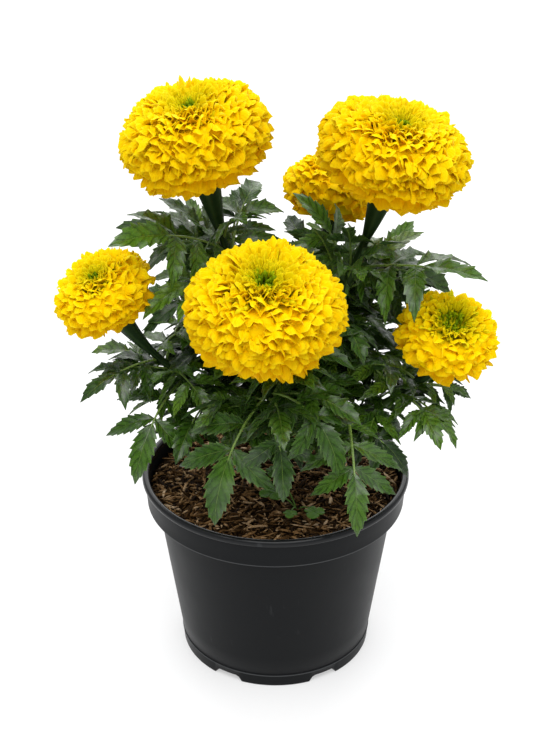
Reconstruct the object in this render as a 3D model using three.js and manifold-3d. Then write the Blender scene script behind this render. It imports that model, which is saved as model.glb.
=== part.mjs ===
// A marigold in full bloom in a round black nursery pot: pot, potting mix, a central leader with side
// branches, the leaves fused to the stem that bears them, six double blooms and a small clover seedling.
// Millimetres, +Z up. The origin is the centre of the pot's foot, on the surface it stands on.

import * as THREE from "three";
import { mergeVertices } from "three/addons/utils/BufferGeometryUtils.js";
import Module from "manifold-3d";

const wasm = await Module();
wasm.setup();

// ---------------------------------------------------------------- driving dimensions

const POT_HEIGHT = 113.5;
const RIM_RADIUS = 76;
const BAND_BOTTOM = 95.8; // underside of the broad band below the rim
const BAND_RADIUS = 73.5;
const BODY_TOP_RADIUS = 67.7;
const BODY_FOOT_RADIUS = 55.7;
const FOOT_HEIGHT = 7.5; // the notched ring that the pot stands on
const FOOT_RADIUS = 55.3;
const WALL = 1.8;
const FLOOR_LEVEL = 5; // underside of the pot's floor, above the surface
const NOTCH_COUNT = 6;
const NOTCH_WIDTH = 15.5;
const NOTCH_HEIGHT = 4;
const DRAIN_RADIUS = 4;
const ROUND_SIDES = 32; // flats round the pot and the mix

const SEAM = 0.3; // gap left between touching pieces
const SOIL_LEVEL = 103;
const SOIL_MOUND = 4; // how much higher the mix lies round the stem
const CHIP_COUNT = 11;

const LEAF_THICKNESS = 0.8;
const PETAL_THICKNESS = 0.8;

// Rings of petals from the underside of a head up to its eye: how many, then where they are rooted in the
// core and where their tips are, each as a share of the head's radius and of its half height.
const LARGE_HEAD = [
  { petals: 8, root: [0.36, -0.44], tip: [0.78, -0.74] },
  { petals: 9, root: [0.5, -0.3], tip: [0.97, -0.32] },
  { petals: 9, root: [0.54, -0.04], tip: [1, 0.12] },
  { petals: 8, root: [0.5, 0.16], tip: [0.87, 0.56] },
  { petals: 6, root: [0.42, 0.3], tip: [0.66, 0.88] },
  { petals: 5, root: [0.34, 0.38], tip: [0.42, 1] },
];
const SMALL_HEAD = [
  { petals: 7, root: [0.38, -0.4], tip: [0.82, -0.66] },
  { petals: 8, root: [0.5, -0.14], tip: [1, -0.08] },
  { petals: 7, root: [0.5, 0.12], tip: [0.88, 0.5] },
  { petals: 5, root: [0.36, 0.34], tip: [0.54, 0.96] },
];
const CORE = [[0.3, -0.62], [0.6, -0.38], [0.66, 0.12], [0.42, 0.48]]; // radius and height, as the same shares
const CORE_SIDES = 6;
const SEAT_DEPTH = 0.62; // how far below its centre a head sits on its stem, as a share of its half height
const EYE_LEVEL = 0.48; // where the green eye sits, as the same share
const EYE_RADIUS = 0.26; // as a share of the head's radius

// Blooms: the centre of the head, the lean of its axis (x and y for one of z), its radius and half height.
const BLOOMS = {
  front: { centre: [-5, -60, 238], lean: [0, -0.26], radius: 39.5, rise: 29, rings: LARGE_HEAD },
  top_left: { centre: [-40, 0, 307], lean: [-0.2, -0.16], radius: 38.5, rise: 26, rings: LARGE_HEAD },
  top_right: { centre: [60, 0, 300], lean: [0.22, -0.12], radius: 41, rise: 27, rings: LARGE_HEAD },
  left: { centre: [-88, -22, 233], lean: [-0.42, -0.3], radius: 26.5, rise: 19, rings: SMALL_HEAD },
  right: { centre: [90, -22, 206], lean: [0.18, -0.45], radius: 26, rise: 19, rings: SMALL_HEAD },
  back: { centre: [33, 68, 255], lean: [0.05, 0.15], radius: 28, rise: 20, rings: SMALL_HEAD },
};

// The main stem, from the root ball through two pull points to the bloom it bears.
const MAIN_STEM = { base: [0, 0, 72], pull: [0, 4, 160], neck: 78, bloom: "top_right" };
MAIN_STEM.radii = [3.6, 3.5, 3.2, 2.8, 2.4, 2.2];

// The leaves, as [place along the stem from 0 to 1, the tip of the leaf, droop from end to end in degrees].
MAIN_STEM.leaves = [
  [0.76, [107, -38, 246], 28],
  [0.7, [92, 8, 222], 45],
  [0.64, [16, -16, 268], 60],
  [0.72, [36, 66, 214], 70],
];

// The side branches. Each leaves the main stem at a place along it and ends under a bloom or in a free tip.
const BRANCHES = {
  top_left: {
    from: 0.4, pull: [-12, 9, 182], neck: 56, bloom: "top_left",
    leaves: [
      [0.7, [-80, -38, 266], 40],
      [0.62, [-84, 24, 250], 50],
      [0.55, [-66, -36, 226], 75],
      [0.66, [-18, 52, 262], 60],
      [0.74, [-14, -26, 272], 70],
    ],
  },
  front: {
    from: 0.3, pull: [-2, -24, 156], neck: 38, bloom: "front",
    leaves: [
      [0.62, [-31, -80, 130], 75],
      [0.6, [4, -78, 140], 90],
      [0.62, [32, -74, 153], 110],
      [0.45, [-42, -58, 172], 60],
    ],
  },
  left: {
    from: 0.24, pull: [-24, -2, 152], neck: 46, bloom: "left",
    leaves: [
      [0.56, [-74, -54, 138], 70],
      [0.62, [-92, -28, 188], 30],
      [0.5, [-92, 26, 170], 60],
      [0.4, [-52, -56, 150], 60],
    ],
  },
  right: {
    from: 0.26, pull: [46, -12, 148], neck: 30, bloom: "right",
    leaves: [
      [0.6, [86, -54, 158], 60],
      [0.66, [108, -4, 160], 50],
      [0.42, [88, 26, 166], 60],
    ],
  },
  back: {
    from: 0.38, pull: [6, 26, 174], neck: 40, bloom: "back",
    leaves: [
      [0.56, [70, 74, 200], 60],
      [0.6, [-14, 86, 206], 70],
      [0.5, [24, 97, 176], 70],
    ],
  },
  shoot_front_right: {
    from: 0.2, pull: [20, -16, 150], tip: [40, -40, 170],
    leaves: [
      [0.96, [42, -84, 126], 60],
      [0.8, [70, -44, 136], 65],
    ],
  },
  shoot_left_back: {
    from: 0.32, pull: [-12, 20, 166], tip: [-38, 34, 222],
    leaves: [
      [0.6, [-88, 52, 196], 60],
      [0.8, [-48, 86, 214], 60],
      [0.98, [-50, 60, 254], 50],
    ],
  },
  shoot_right_back: {
    from: 0.29, pull: [26, 10, 156], tip: [56, 32, 208],
    leaves: [
      [0.7, [98, 46, 182], 60],
      [0.85, [78, 70, 234], 50],
      [0.97, [96, 16, 206], 50],
    ],
  },
};
const BRANCH_RADII = [2.2, 2.2, 2.1, 1.9];
const SHOOT_RADII = [2, 1.9, 1.6, 1.2];
const CUP_RADII = { large: [3.4, 5.6, 6.6], small: [2.8, 4.3, 5.2] }; // the calyx, widening to the head
const CALYX_LENGTH = 30;

const MATERIALS = {
  potPlastic: new THREE.MeshStandardMaterial({ color: 0x232426, roughness: 0.45, metalness: 0 }),
  mix: new THREE.MeshStandardMaterial({ color: 0x3b2a1e, roughness: 0.95, metalness: 0 }),
  foliage: new THREE.MeshStandardMaterial({ color: 0x2c4a22, roughness: 0.6, metalness: 0 }),
  petal: new THREE.MeshStandardMaterial({ color: 0xf6cb05, roughness: 0.6, metalness: 0 }),
  eye: new THREE.MeshStandardMaterial({ color: 0x84971a, roughness: 0.6, metalness: 0 }),
  clover: new THREE.MeshStandardMaterial({ color: 0x3f6218, roughness: 0.6, metalness: 0 }),
};

// ---------------------------------------------------------------- small tools

const radians = THREE.MathUtils.degToRad;
const vector = (xyz) => new THREE.Vector3(...xyz);

// A repeatable draw between 0 and 1 for a seed and a count.
function draw(seed, count) {
  const wave = Math.sin(seed * 12.9898 + count * 78.233) * 43758.5453;
  return wave - Math.floor(wave);
}

// A closed three.js geometry as a solid that can be joined and cut.
function solid(geometry) {
  const bare = new THREE.BufferGeometry().setAttribute("position", geometry.getAttribute("position"));
  if (geometry.index) bare.setIndex(geometry.index);
  const merged = mergeVertices(bare, 1e-4);
  const corners = [];
  const order = merged.index.array;
  for (let i = 0; i < order.length; i += 3) {
    const [a, b, c] = order.slice(i, i + 3);
    if (a !== b && b !== c && c !== a) corners.push(a, b, c);
  }
  const vertProperties = merged.attributes.position.array;
  return new wasm.Manifold(new wasm.Mesh({ numProp: 3, vertProperties, triVerts: new Uint32Array(corners) }));
}

// Moves every vertex of a geometry to where place(x, y, z) puts it.
function bend(geometry, place) {
  const position = geometry.getAttribute("position");
  for (let i = 0; i < position.count; i++) {
    const moved = place(position.getX(i), position.getY(i), position.getZ(i));
    position.setXYZ(i, moved.x, moved.y, moved.z);
  }
  return geometry;
}

// A solid of revolution about +Z from [radius, height] points listed from the bottom axis point up.
function turned(points, sides) {
  const profile = points.map(([radius, height]) => new THREE.Vector2(radius, height));
  return new THREE.LatheGeometry(profile, sides).rotateX(Math.PI / 2);
}

function joined(solids) {
  return wasm.Manifold.union(solids);
}

const group = new THREE.Group();

function addPiece(name, made, material) {
  const { numProp, vertProperties, triVerts } = made.getMesh();
  const position = new Float32Array((vertProperties.length / numProp) * 3);
  for (let i = 0; i < position.length / 3; i++)
    position.set(vertProperties.subarray(i * numProp, i * numProp + 3), i * 3);
  const geometry = new THREE.BufferGeometry();
  geometry.setAttribute("position", new THREE.BufferAttribute(position, 3));
  geometry.setIndex(new THREE.BufferAttribute(triVerts, 1));
  const mesh = new THREE.Mesh(geometry, material);
  mesh.name = name;
  group.add(mesh);
  return made;
}

// ---------------------------------------------------------------- pot

function makePot() {
  const bodySlope = (BODY_TOP_RADIUS - BODY_FOOT_RADIUS) / (BAND_BOTTOM - FOOT_HEIGHT);
  const innerFloor = FLOOR_LEVEL + WALL;
  const floorRadius = BODY_FOOT_RADIUS - WALL;
  const outline = [
    [0, FLOOR_LEVEL],
    [FOOT_RADIUS - 2 * WALL, FLOOR_LEVEL],
    [FOOT_RADIUS - 2 * WALL, 0],
    [FOOT_RADIUS, 0],
    [FOOT_RADIUS + 0.7, FOOT_HEIGHT],
    [BODY_FOOT_RADIUS, FOOT_HEIGHT + 0.6],
    [BODY_TOP_RADIUS, BAND_BOTTOM],
    [BAND_RADIUS, BAND_BOTTOM],
    [RIM_RADIUS - 1, POT_HEIGHT - 3.2],
    [RIM_RADIUS, POT_HEIGHT - 1.8],
    [RIM_RADIUS - 1.2, POT_HEIGHT],
    [RIM_RADIUS - 4, POT_HEIGHT - 1],
    [BAND_RADIUS - WALL, BAND_BOTTOM + WALL],
    [BODY_TOP_RADIUS - WALL, BAND_BOTTOM + WALL],
    [floorRadius + bodySlope * (innerFloor - FOOT_HEIGHT), innerFloor],
    [0, innerFloor],
  ];
  const cuts = [];
  for (let i = 0; i < NOTCH_COUNT; i++) {
    const turn = (i / NOTCH_COUNT) * 2 * Math.PI;
    const notch = new THREE.BoxGeometry(4 * FLOOR_LEVEL, NOTCH_WIDTH, 2 * NOTCH_HEIGHT);
    cuts.push(solid(notch.translate(FOOT_RADIUS, 0, 0).rotateZ(turn)));
    const drain = new THREE.CylinderGeometry(DRAIN_RADIUS, DRAIN_RADIUS, 4 * WALL, 6).rotateX(Math.PI / 2);
    cuts.push(solid(drain.translate(FOOT_RADIUS - 16, 0, FLOOR_LEVEL).rotateZ(turn)));
  }
  return solid(turned(outline, ROUND_SIDES)).subtract(joined(cuts));
}

// ---------------------------------------------------------------- stems and leaves

// The unit axis of a bloom's head.
function axisOf(bloom) {
  return new THREE.Vector3(bloom.lean[0], bloom.lean[1], 1).normalize();
}

// Where a bloom's head sits on its stem.
function seatOf(bloom) {
  return vector(bloom.centre).addScaledVector(axisOf(bloom), -SEAT_DEPTH * bloom.rise - SEAM);
}

// The curve of a stem. It meets its bloom along the axis of the head, over the length of its neck.
function curveTo(base, stem) {
  const pull = vector(stem.pull);
  if (!stem.bloom) return new THREE.QuadraticBezierCurve3(base, pull, vector(stem.tip));
  const bloom = BLOOMS[stem.bloom];
  const seat = seatOf(bloom);
  return new THREE.CubicBezierCurve3(base, pull, seat.clone().addScaledVector(axisOf(bloom), -stem.neck), seat);
}

const mainCurve = curveTo(vector(MAIN_STEM.base), MAIN_STEM);

// A round-sectioned solid along a curve. Sections lists [place along the curve, radius].
function alongCurve(curve, sections, sides) {
  const ends = [[sections[0][0], 0], ...sections, [sections.at(-1)[0], 0]];
  const straight = new THREE.LatheGeometry(ends.map(([place, radius]) => new THREE.Vector2(radius, place)), sides);
  const side = new THREE.Vector3(0.6, 0.8, 0);
  return solid(
    bend(straight, (x, place, z) => {
      const tangent = curve.getTangent(place);
      const across = new THREE.Vector3().crossVectors(tangent, side).normalize();
      const over = new THREE.Vector3().crossVectors(across, tangent);
      return curve.getPoint(place).addScaledVector(across, x).addScaledVector(over, z);
    }),
  );
}

// Even sections of a stem, with the calyx under its bloom as the last stretch.
function stemSections(curve, radii, bloom) {
  if (!bloom) return radii.map((radius, i) => [i / (radii.length - 1), radius]);
  const calyxStart = 1 - CALYX_LENGTH / curve.getLength();
  const low = radii.map((radius, i) => [(i / (radii.length - 1)) * calyxStart, radius]);
  const cup = CUP_RADII[bloom.radius > 30 ? "large" : "small"];
  return [...low, ...cup.map((radius, i) => [calyxStart + ((i + 1) / cup.length) * (1 - calyxStart), radius])];
}

// The outline of a compound leaf on the flat, cut in to the rib: three pairs of toothed leaflets and a
// larger one at the tip. Places, reaches and half widths are shares of the leaf's length, angles are degrees.
// An edge lists places along a leaflet with the share of its half width there.
const SMOOTH_EDGE = [[0.5, 1]];
const TOOTHED_EDGE = [[0.52, 1], [0.58, 0.7]];
const LEAFLETS = [
  { place: 0.14, reach: 0.29, angle: 64, half: 0.056, edge: SMOOTH_EDGE },
  { place: 0.3, reach: 0.36, angle: 56, half: 0.066, edge: TOOTHED_EDGE },
  { place: 0.45, reach: 0.32, angle: 48, half: 0.063, edge: TOOTHED_EDGE },
];
const TERMINAL = { place: 0.52, reach: 0.48, half: 0.09 };
const TERMINAL_EDGE = [[0.36, 1], [0.42, 0.76], [0.64, 0.84], [0.69, 0.55]];
const RIB_HALF = 0.9;
const LEAFLET_STALK = 1.5; // half the width of a leaflet where it meets the rib

function leafOutline(length) {
  const side = [[0, RIB_HALF]];
  for (const leaflet of LEAFLETS) {
    const along = Math.cos(radians(leaflet.angle));
    const out = Math.sin(radians(leaflet.angle));
    const start = leaflet.place * length;
    const point = ([share, width], sign) => {
      const reach = share * leaflet.reach * length;
      const half = sign * width * leaflet.half * length;
      side.push([start + along * reach - out * half, RIB_HALF + out * reach + along * half]);
    };
    side.push([start - LEAFLET_STALK, RIB_HALF]);
    leaflet.edge.forEach((place) => point(place, 1));
    point([1, 0], 1);
    leaflet.edge.toReversed().forEach((place) => point(place, -1));
    side.push([start + LEAFLET_STALK, RIB_HALF]);
  }
  side.push([TERMINAL.place * length, RIB_HALF]);
  for (const [share, width] of TERMINAL_EDGE)
    side.push([(TERMINAL.place + share * TERMINAL.reach) * length, width * TERMINAL.half * length]);
  const otherSide = side.map(([x, y]) => [x, -y]);
  const points = [...otherSide, [length, 0], ...side.toReversed()];
  return new THREE.Shape(points.map(([x, y]) => new THREE.Vector2(x, y)));
}

// A leaf from a point on its stem to its tip: its rib is an arc that droops evenly by the given angle, and
// the leaflets on both sides hang a little below it.
const SIDE_HANG = 0.8;
function makeLeaf(base, tip, droop) {
  const chord = vector(tip).sub(base);
  const level = Math.hypot(chord.x, chord.y);
  const halfDroop = radians(droop) / 2;
  const length = (chord.length() * halfDroop) / Math.sin(halfDroop);
  const rise = Math.atan2(chord.z, level) + halfDroop;
  const ahead = new THREE.Vector3(chord.x / level, chord.y / level, 0);
  const across = new THREE.Vector3(-ahead.y, ahead.x, 0);
  const curl = (2 * halfDroop) / length;
  const flat = new THREE.ExtrudeGeometry(leafOutline(length), { depth: LEAF_THICKNESS, bevelEnabled: false });
  return solid(
    bend(flat, (u, v, w) => {
      const slope = rise - curl * u;
      const lift = w - LEAF_THICKNESS / 2 - (SIDE_HANG * v * v) / length;
      const forward = (Math.sin(rise) - Math.sin(slope)) / curl - Math.sin(slope) * lift;
      const up = (Math.cos(slope) - Math.cos(rise)) / curl + Math.cos(slope) * lift;
      return base.clone().addScaledVector(ahead, forward).addScaledVector(across, v).add(vector([0, 0, up]));
    }),
  );
}

function makeLeafyStem(curve, sections, leaves) {
  const blades = leaves.map(([place, tip, droop]) => makeLeaf(curve.getPoint(place), tip, droop));
  return joined([alongCurve(curve, sections, 6), ...blades]);
}

// The main stem, and the room it takes with the seam round it.
const mainSections = stemSections(mainCurve, MAIN_STEM.radii, BLOOMS[MAIN_STEM.bloom]);
const mainStem = {
  made: makeLeafyStem(mainCurve, mainSections, MAIN_STEM.leaves),
  grown: alongCurve(mainCurve, [[-0.02, 4], ...mainSections].map(([place, r]) => [place, r + SEAM]), 6),
};

// A branch starts inside the main stem and is cut back to its surface.
function makeBranch(branch) {
  const curve = curveTo(mainCurve.getPoint(branch.from), branch);
  const bloom = BLOOMS[branch.bloom];
  const sections = stemSections(curve, bloom ? BRANCH_RADII : SHOOT_RADII, bloom);
  return makeLeafyStem(curve, sections, branch.leaves).subtract(mainStem.grown);
}

// ---------------------------------------------------------------- blooms

// Turns a head built about +Z at the origin to its lean and moves it to its place.
function placeHead(geometry, bloom) {
  const turn = new THREE.Quaternion().setFromUnitVectors(new THREE.Vector3(0, 0, 1), axisOf(bloom));
  return geometry.applyQuaternion(turn).translate(...bloom.centre);
}

// A broad petal from its root in the core to its ruffled end: one corner is lifted and the other drops, so
// that the next petal round lies over it.
const PETAL_OUTLINE = [[0, -0.14], [0.9, -0.5], [1, 0.5], [0, 0.14]];
function makePetal(bloom, ring, turn, width, count) {
  const root = [ring.root[0] * bloom.radius, ring.root[1] * bloom.rise];
  const stretch = 0.92 + 0.06 * draw(count, 5);
  const reach = [ring.tip[0] * bloom.radius * stretch - root[0], ring.tip[1] * bloom.rise * stretch - root[1]];
  const length = Math.hypot(...reach);
  const [out, up] = reach.map((part) => part / length);
  const ruffle = (0.4 + 0.6 * draw(count, 3)) * 0.06 * bloom.radius;
  const shape = new THREE.Shape(PETAL_OUTLINE.map(([u, v]) => new THREE.Vector2(u, v)));
  const flat = new THREE.ExtrudeGeometry(shape, { depth: PETAL_THICKNESS, bevelEnabled: false });
  return bend(flat, (u, v, w) => {
    const lift = w - PETAL_THICKNESS / 2 + (u > 0 ? Math.sign(v) * ruffle : 0);
    const radial = root[0] + u * length * out - lift * up;
    const height = root[1] + u * length * up + lift * out;
    const side = v * width;
    return new THREE.Vector3(
      radial * Math.cos(turn) - side * Math.sin(turn),
      radial * Math.sin(turn) + side * Math.cos(turn),
      height,
    );
  });
}

// The head: a smaller core with rings of petals standing out of it.
function makePetals(bloom) {
  const size = ([radius, height]) => [radius * bloom.radius, height * bloom.rise];
  const outline = CORE.map(size);
  const core = turned([[0, outline[0][1]], ...outline, [0, outline.at(-1)[1]]], CORE_SIDES);
  const parts = [solid(placeHead(core, bloom))];
  let count = 0;
  bloom.rings.forEach((ring, level) => {
    const spacing = (2 * Math.PI) / ring.petals;
    const width = spacing * bloom.radius * Math.max(0.55, ring.tip[0]);
    for (let i = 0; i < ring.petals; i++) {
      const turn = (i + 0.5 * (level % 2) + 0.14 * draw(count, 1)) * spacing;
      parts.push(solid(placeHead(makePetal(bloom, ring, turn, width, count), bloom)));
      count++;
    }
  });
  return joined(parts);
}

// The green eye: a button of unopened florets, raised as points in rings.
const EYE_SIDES = 8;
function makeEye(bloom) {
  const size = EYE_RADIUS * bloom.radius;
  const floor = EYE_LEVEL * bloom.rise + SEAM;
  const height = 0.2 * bloom.rise;
  const profile = [[1, 0], [1, 0.3], [0.7, 1], [0.35, 0.7]];
  const rings = profile.map(([radius, level]) => [radius * size, floor + level * height]);
  const button = turned([[0, floor], ...rings, [0, floor + 0.6 * height]], EYE_SIDES);
  bend(button, (x, y, z) => {
    const radius = Math.hypot(x, y) / size;
    const side = Math.round((Math.atan2(y, x) / (2 * Math.PI)) * EYE_SIDES) + (radius < 0.5 ? 1 : 0);
    const raised = z > floor + 0.5 * height && radius > 0.1 && side % 2 === 0;
    return new THREE.Vector3(x, y, z + (raised ? 0.5 * height : 0));
  });
  return solid(placeHead(button, bloom));
}

// ---------------------------------------------------------------- potting mix and seedling

// Height of the mix at a place: a low mound round the stem, with a rough surface.
function soilHeight(x, y) {
  const share = Math.min(1, Math.hypot(x, y) / BODY_TOP_RADIUS);
  const rough = 1.1 * Math.sin(0.31 * x + 1.3) * Math.sin(0.27 * y) + 0.8 * Math.sin(0.6 * x - 0.5 * y);
  return SOIL_LEVEL + SOIL_MOUND * (1 - share * share) + rough * (1 - share ** 6);
}

const SEEDLING = { base: [12, -33], hole: 1.6 };
const CLOVER_SPRIGS = [
  { top: [-2, -40, 121], size: 7.5 },
  { top: [21, -48, 114], size: 6.5 },
];

function makeSoil() {
  const bodySlope = (BODY_TOP_RADIUS - BODY_FOOT_RADIUS) / (BAND_BOTTOM - FOOT_HEIGHT);
  const bodyWall = (z) => BODY_FOOT_RADIUS - WALL - 2 * SEAM + bodySlope * (z - FOOT_HEIGHT);
  const bandSlope = (RIM_RADIUS - 4 - BAND_RADIUS + WALL) / (POT_HEIGHT - 1 - BAND_BOTTOM - WALL);
  const edge = BAND_RADIUS - WALL - 2 * SEAM + bandSlope * (SOIL_LEVEL - BAND_BOTTOM - WALL);
  const floor = FLOOR_LEVEL + WALL + SEAM;
  const ledge = BAND_BOTTOM + WALL + SEAM;
  const surface = [1, 0.8, 0.56, 0.3].map((share) => [edge * share, SOIL_LEVEL]);
  const wall = [[bodyWall(floor), floor], [bodyWall(ledge), ledge], [edge - SEAM, ledge]];
  const lump = turned([[0, floor], ...wall, ...surface, [0, SOIL_LEVEL]], ROUND_SIDES);
  bend(lump, (x, y, z) => new THREE.Vector3(x, y, z === SOIL_LEVEL ? soilHeight(x, y) : z));
  const chips = [];
  for (let i = 0; i < CHIP_COUNT; i++) {
    const turn = i * 2.39996 + draw(i, 11);
    const radius = 24 + 40 * Math.sqrt((i + 0.5) / CHIP_COUNT);
    const chip = new THREE.BoxGeometry(8 + 7 * draw(i, 12), 2.6 + 1.6 * draw(i, 13), 2.2);
    chip.rotateY(0.3 * (draw(i, 14) - 0.5)).rotateZ(2 * Math.PI * draw(i, 15));
    const [x, y] = [radius * Math.cos(turn), radius * Math.sin(turn)];
    chips.push(solid(chip.translate(x, y, soilHeight(x, y) + 0.3)));
  }
  const hole = new THREE.CylinderGeometry(SEEDLING.hole, SEEDLING.hole, 30, 8).rotateX(Math.PI / 2);
  const seedlingHole = solid(hole.translate(SEEDLING.base[0], SEEDLING.base[1], SOIL_LEVEL + 9));
  return joined([solid(lump), ...chips]).subtract(seedlingHole).subtract(mainStem.grown);
}

// Three rounded leaflets on each thin stalk, all from one root.
const STALK = [[0, 0.6], [0.6, 0.6], [1, 0.6]];
function makeSeedling() {
  const [x, y] = SEEDLING.base;
  const root = new THREE.CylinderGeometry(1.1, 1.1, 10, 6).rotateX(Math.PI / 2).translate(x, y, SOIL_LEVEL + 1.8);
  const parts = [solid(root)];
  for (const sprig of CLOVER_SPRIGS) {
    const top = vector(sprig.top);
    const foot = new THREE.Vector3(x, y, SOIL_LEVEL + 6);
    const middle = foot.clone().lerp(top, 0.4).add(new THREE.Vector3(0, 0, 5));
    parts.push(alongCurve(new THREE.QuadraticBezierCurve3(foot, middle, top), STALK, 4));
    for (let i = 0; i < 3; i++) {
      const size = sprig.size;
      const lobe = new THREE.Shape(
        [[0, 0], [0.6, -0.5], [1, -0.3], [0.85, 0], [1, 0.3], [0.6, 0.5]].map(
          ([u, v]) => new THREE.Vector2(u * size, v * size),
        ),
      );
      const blade = new THREE.ExtrudeGeometry(lobe, { depth: 0.7, bevelEnabled: false });
      blade.translate(-0.4, 0, -0.35).rotateZ((i / 3) * 2 * Math.PI + sprig.size);
      parts.push(solid(blade.translate(...sprig.top)));
    }
  }
  return joined(parts);
}

// ---------------------------------------------------------------- the whole plant

addPiece("pot", makePot(), MATERIALS.potPlastic);
addPiece("potting_mix", makeSoil(), MATERIALS.mix);
addPiece("clover_seedling", makeSeedling(), MATERIALS.clover);
addPiece("main_stem", mainStem.made, MATERIALS.foliage);
for (const [name, branch] of Object.entries(BRANCHES))
  addPiece(branch.bloom ? `branch_${name}` : name, makeBranch(branch), MATERIALS.foliage);
for (const [name, bloom] of Object.entries(BLOOMS)) {
  addPiece(`petals_${name}`, makePetals(bloom), MATERIALS.petal);
  addPiece(`eye_${name}`, makeEye(bloom), MATERIALS.eye);
}

export default group;
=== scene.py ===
# %% [markdown]
# # A marigold in full bloom in a black nursery pot
#
# The solid model says where everything is and how large it is. This script loads it as a fixed frame and
# gives every solid a finer surface: a smooth moulded pot, shredded bark, toothed leaves, ruffled petals.
# The finer pieces may go past a side of it by no more than 3 % of that side.

# %% Load the solid model
import math

import bpy
import numpy as np
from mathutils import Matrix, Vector


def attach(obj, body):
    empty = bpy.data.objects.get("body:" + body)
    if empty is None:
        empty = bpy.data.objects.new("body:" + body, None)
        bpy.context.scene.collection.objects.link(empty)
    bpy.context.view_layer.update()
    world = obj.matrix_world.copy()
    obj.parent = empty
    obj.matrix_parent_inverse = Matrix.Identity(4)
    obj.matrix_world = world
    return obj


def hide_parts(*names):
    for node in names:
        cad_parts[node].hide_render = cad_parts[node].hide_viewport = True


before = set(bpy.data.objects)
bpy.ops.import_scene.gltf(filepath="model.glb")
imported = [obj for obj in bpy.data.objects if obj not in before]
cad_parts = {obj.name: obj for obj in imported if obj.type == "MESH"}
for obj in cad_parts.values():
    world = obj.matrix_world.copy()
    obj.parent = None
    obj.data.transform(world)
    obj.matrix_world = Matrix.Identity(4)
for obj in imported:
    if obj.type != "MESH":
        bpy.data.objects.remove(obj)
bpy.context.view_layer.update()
MM = 0.001  # every size below is in millimetres, and becomes metres where a mesh is made

# %% [markdown]
# ## Camera, floor and light
#
# The photograph is a catalogue picture: a long lens, a little above the plant, on white paper under soft
# light from all round. A long lens is copied by its distance and its focal length together. A sky of one
# pale colour lights everything evenly. A large lamp above gives the petals their direction, and a weaker
# one behind puts a pale sheen on leaves that lie flat.

# %% Camera at the photograph's angle
VIEW_TARGET = Vector((1.4, 0.0, 174.1)) * MM
VIEW_DISTANCE = 778 * MM
VIEW_DOWN = math.radians(27.79)
FOCAL_LENGTH = 68.25  # for a frame 36 mm high

camera_data = bpy.data.cameras.new("camera")
camera_data.lens = FOCAL_LENGTH
camera_data.clip_start = 0.01
camera = bpy.data.objects.new("camera", camera_data)
towards_camera = Vector((0, -math.cos(VIEW_DOWN), math.sin(VIEW_DOWN)))
camera.location = VIEW_TARGET + towards_camera * VIEW_DISTANCE
camera.rotation_euler = (-towards_camera).to_track_quat("-Z", "Y").to_euler()
bpy.context.collection.objects.link(camera)
bpy.context.scene.camera = camera
bpy.context.scene.view_settings.view_transform = "Standard"
print("camera at", [round(c, 3) for c in camera.location])

# %% Soft light from all round, with broad lamps above and behind
SKY_STRENGTH = 0.7
LAMPS = {  # direction it comes from, watts per square metre, and how wide it looks in degrees
    "key": ((0.0, -0.3, 1.0), 2.35, 55),
    "sheen": ((0.0, 1.0, 0.75), 1.5, 60),
}

world = bpy.data.worlds.new("white sky")
world.use_nodes = True
world.node_tree.nodes["Background"].inputs["Color"].default_value = (0.98, 0.99, 1.0, 1)
world.node_tree.nodes["Background"].inputs["Strength"].default_value = SKY_STRENGTH
bpy.context.scene.world = world

for lamp_name, (origin, strength, width) in LAMPS.items():
    lamp_data = bpy.data.lights.new(lamp_name, "SUN")
    lamp_data.energy = strength
    lamp_data.angle = math.radians(width)
    lamp = bpy.data.objects.new(lamp_name, lamp_data)
    lamp.rotation_euler = (-Vector(origin)).to_track_quat("-Z", "Y").to_euler()
    bpy.context.collection.objects.link(lamp)
print("sky", SKY_STRENGTH, "and lamps", list(LAMPS))

# %% [markdown]
# ## Tools for surfaces
#
# Leaves and petals are thin blades. Each one is a grid of points worked out by a formula, doubled into an
# upper and a lower skin that share their rim, so that a blade is closed and has a real thickness. Stems,
# ribs and splinters are tubes, and the pot and the mix are turned shapes, all closed at their ends. All the
# blades or tubes of a piece are computed as one array, which is far quicker than one at a time.

# %% Repeatable draws, smooth steps and turns
def draw(seed, count):
    """A repeatable number between 0 and 1: the fraction of a large multiple of a sine of both counts."""
    wave = np.sin(np.asarray(seed) * 12.9898 + np.asarray(count) * 78.233) * 43758.5453
    return wave - np.floor(wave)


def between(low, high, share):
    """The value that lies at a share of the way from low to high."""
    return low + (high - low) * share


def ease(start, end, x):
    """0 before start, 1 after end, and a smooth S between them."""
    t = np.clip((x - start) / (end - start), 0, 1)
    return t * t * (3 - 2 * t)


def unit(vectors):
    """Vectors brought to length one along their last axis."""
    return vectors / np.maximum(np.linalg.norm(vectors, axis=-1, keepdims=True), 1e-9)


def swing(first, second, turn):
    """A pair of coordinates turned by an angle, as a point in a plane is turned about its origin."""
    cos, sin = np.cos(turn), np.sin(turn)
    return cos * first - sin * second, sin * first + cos * second


def full_turn(sides):
    """Even steps of angle round a circle."""
    return np.linspace(0, 2 * np.pi, sides, endpoint=False)


print("three draws:", draw(1, np.arange(3)).round(3), "and a full turn in four:", full_turn(4).round(2))

# %% Make a mesh from arrays
def join_parts(*parts):
    """Joins parts into one. Each holds points, a list of face arrays, and values by name for every point."""
    starts = np.cumsum([0] + [len(part["points"]) for part in parts])
    joined = {key: np.concatenate([part[key] for part in parts]) for key in parts[0] if key != "faces"}
    joined["faces"] = [faces + start for part, start in zip(parts, starts) for faces in part["faces"]]
    return joined


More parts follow.
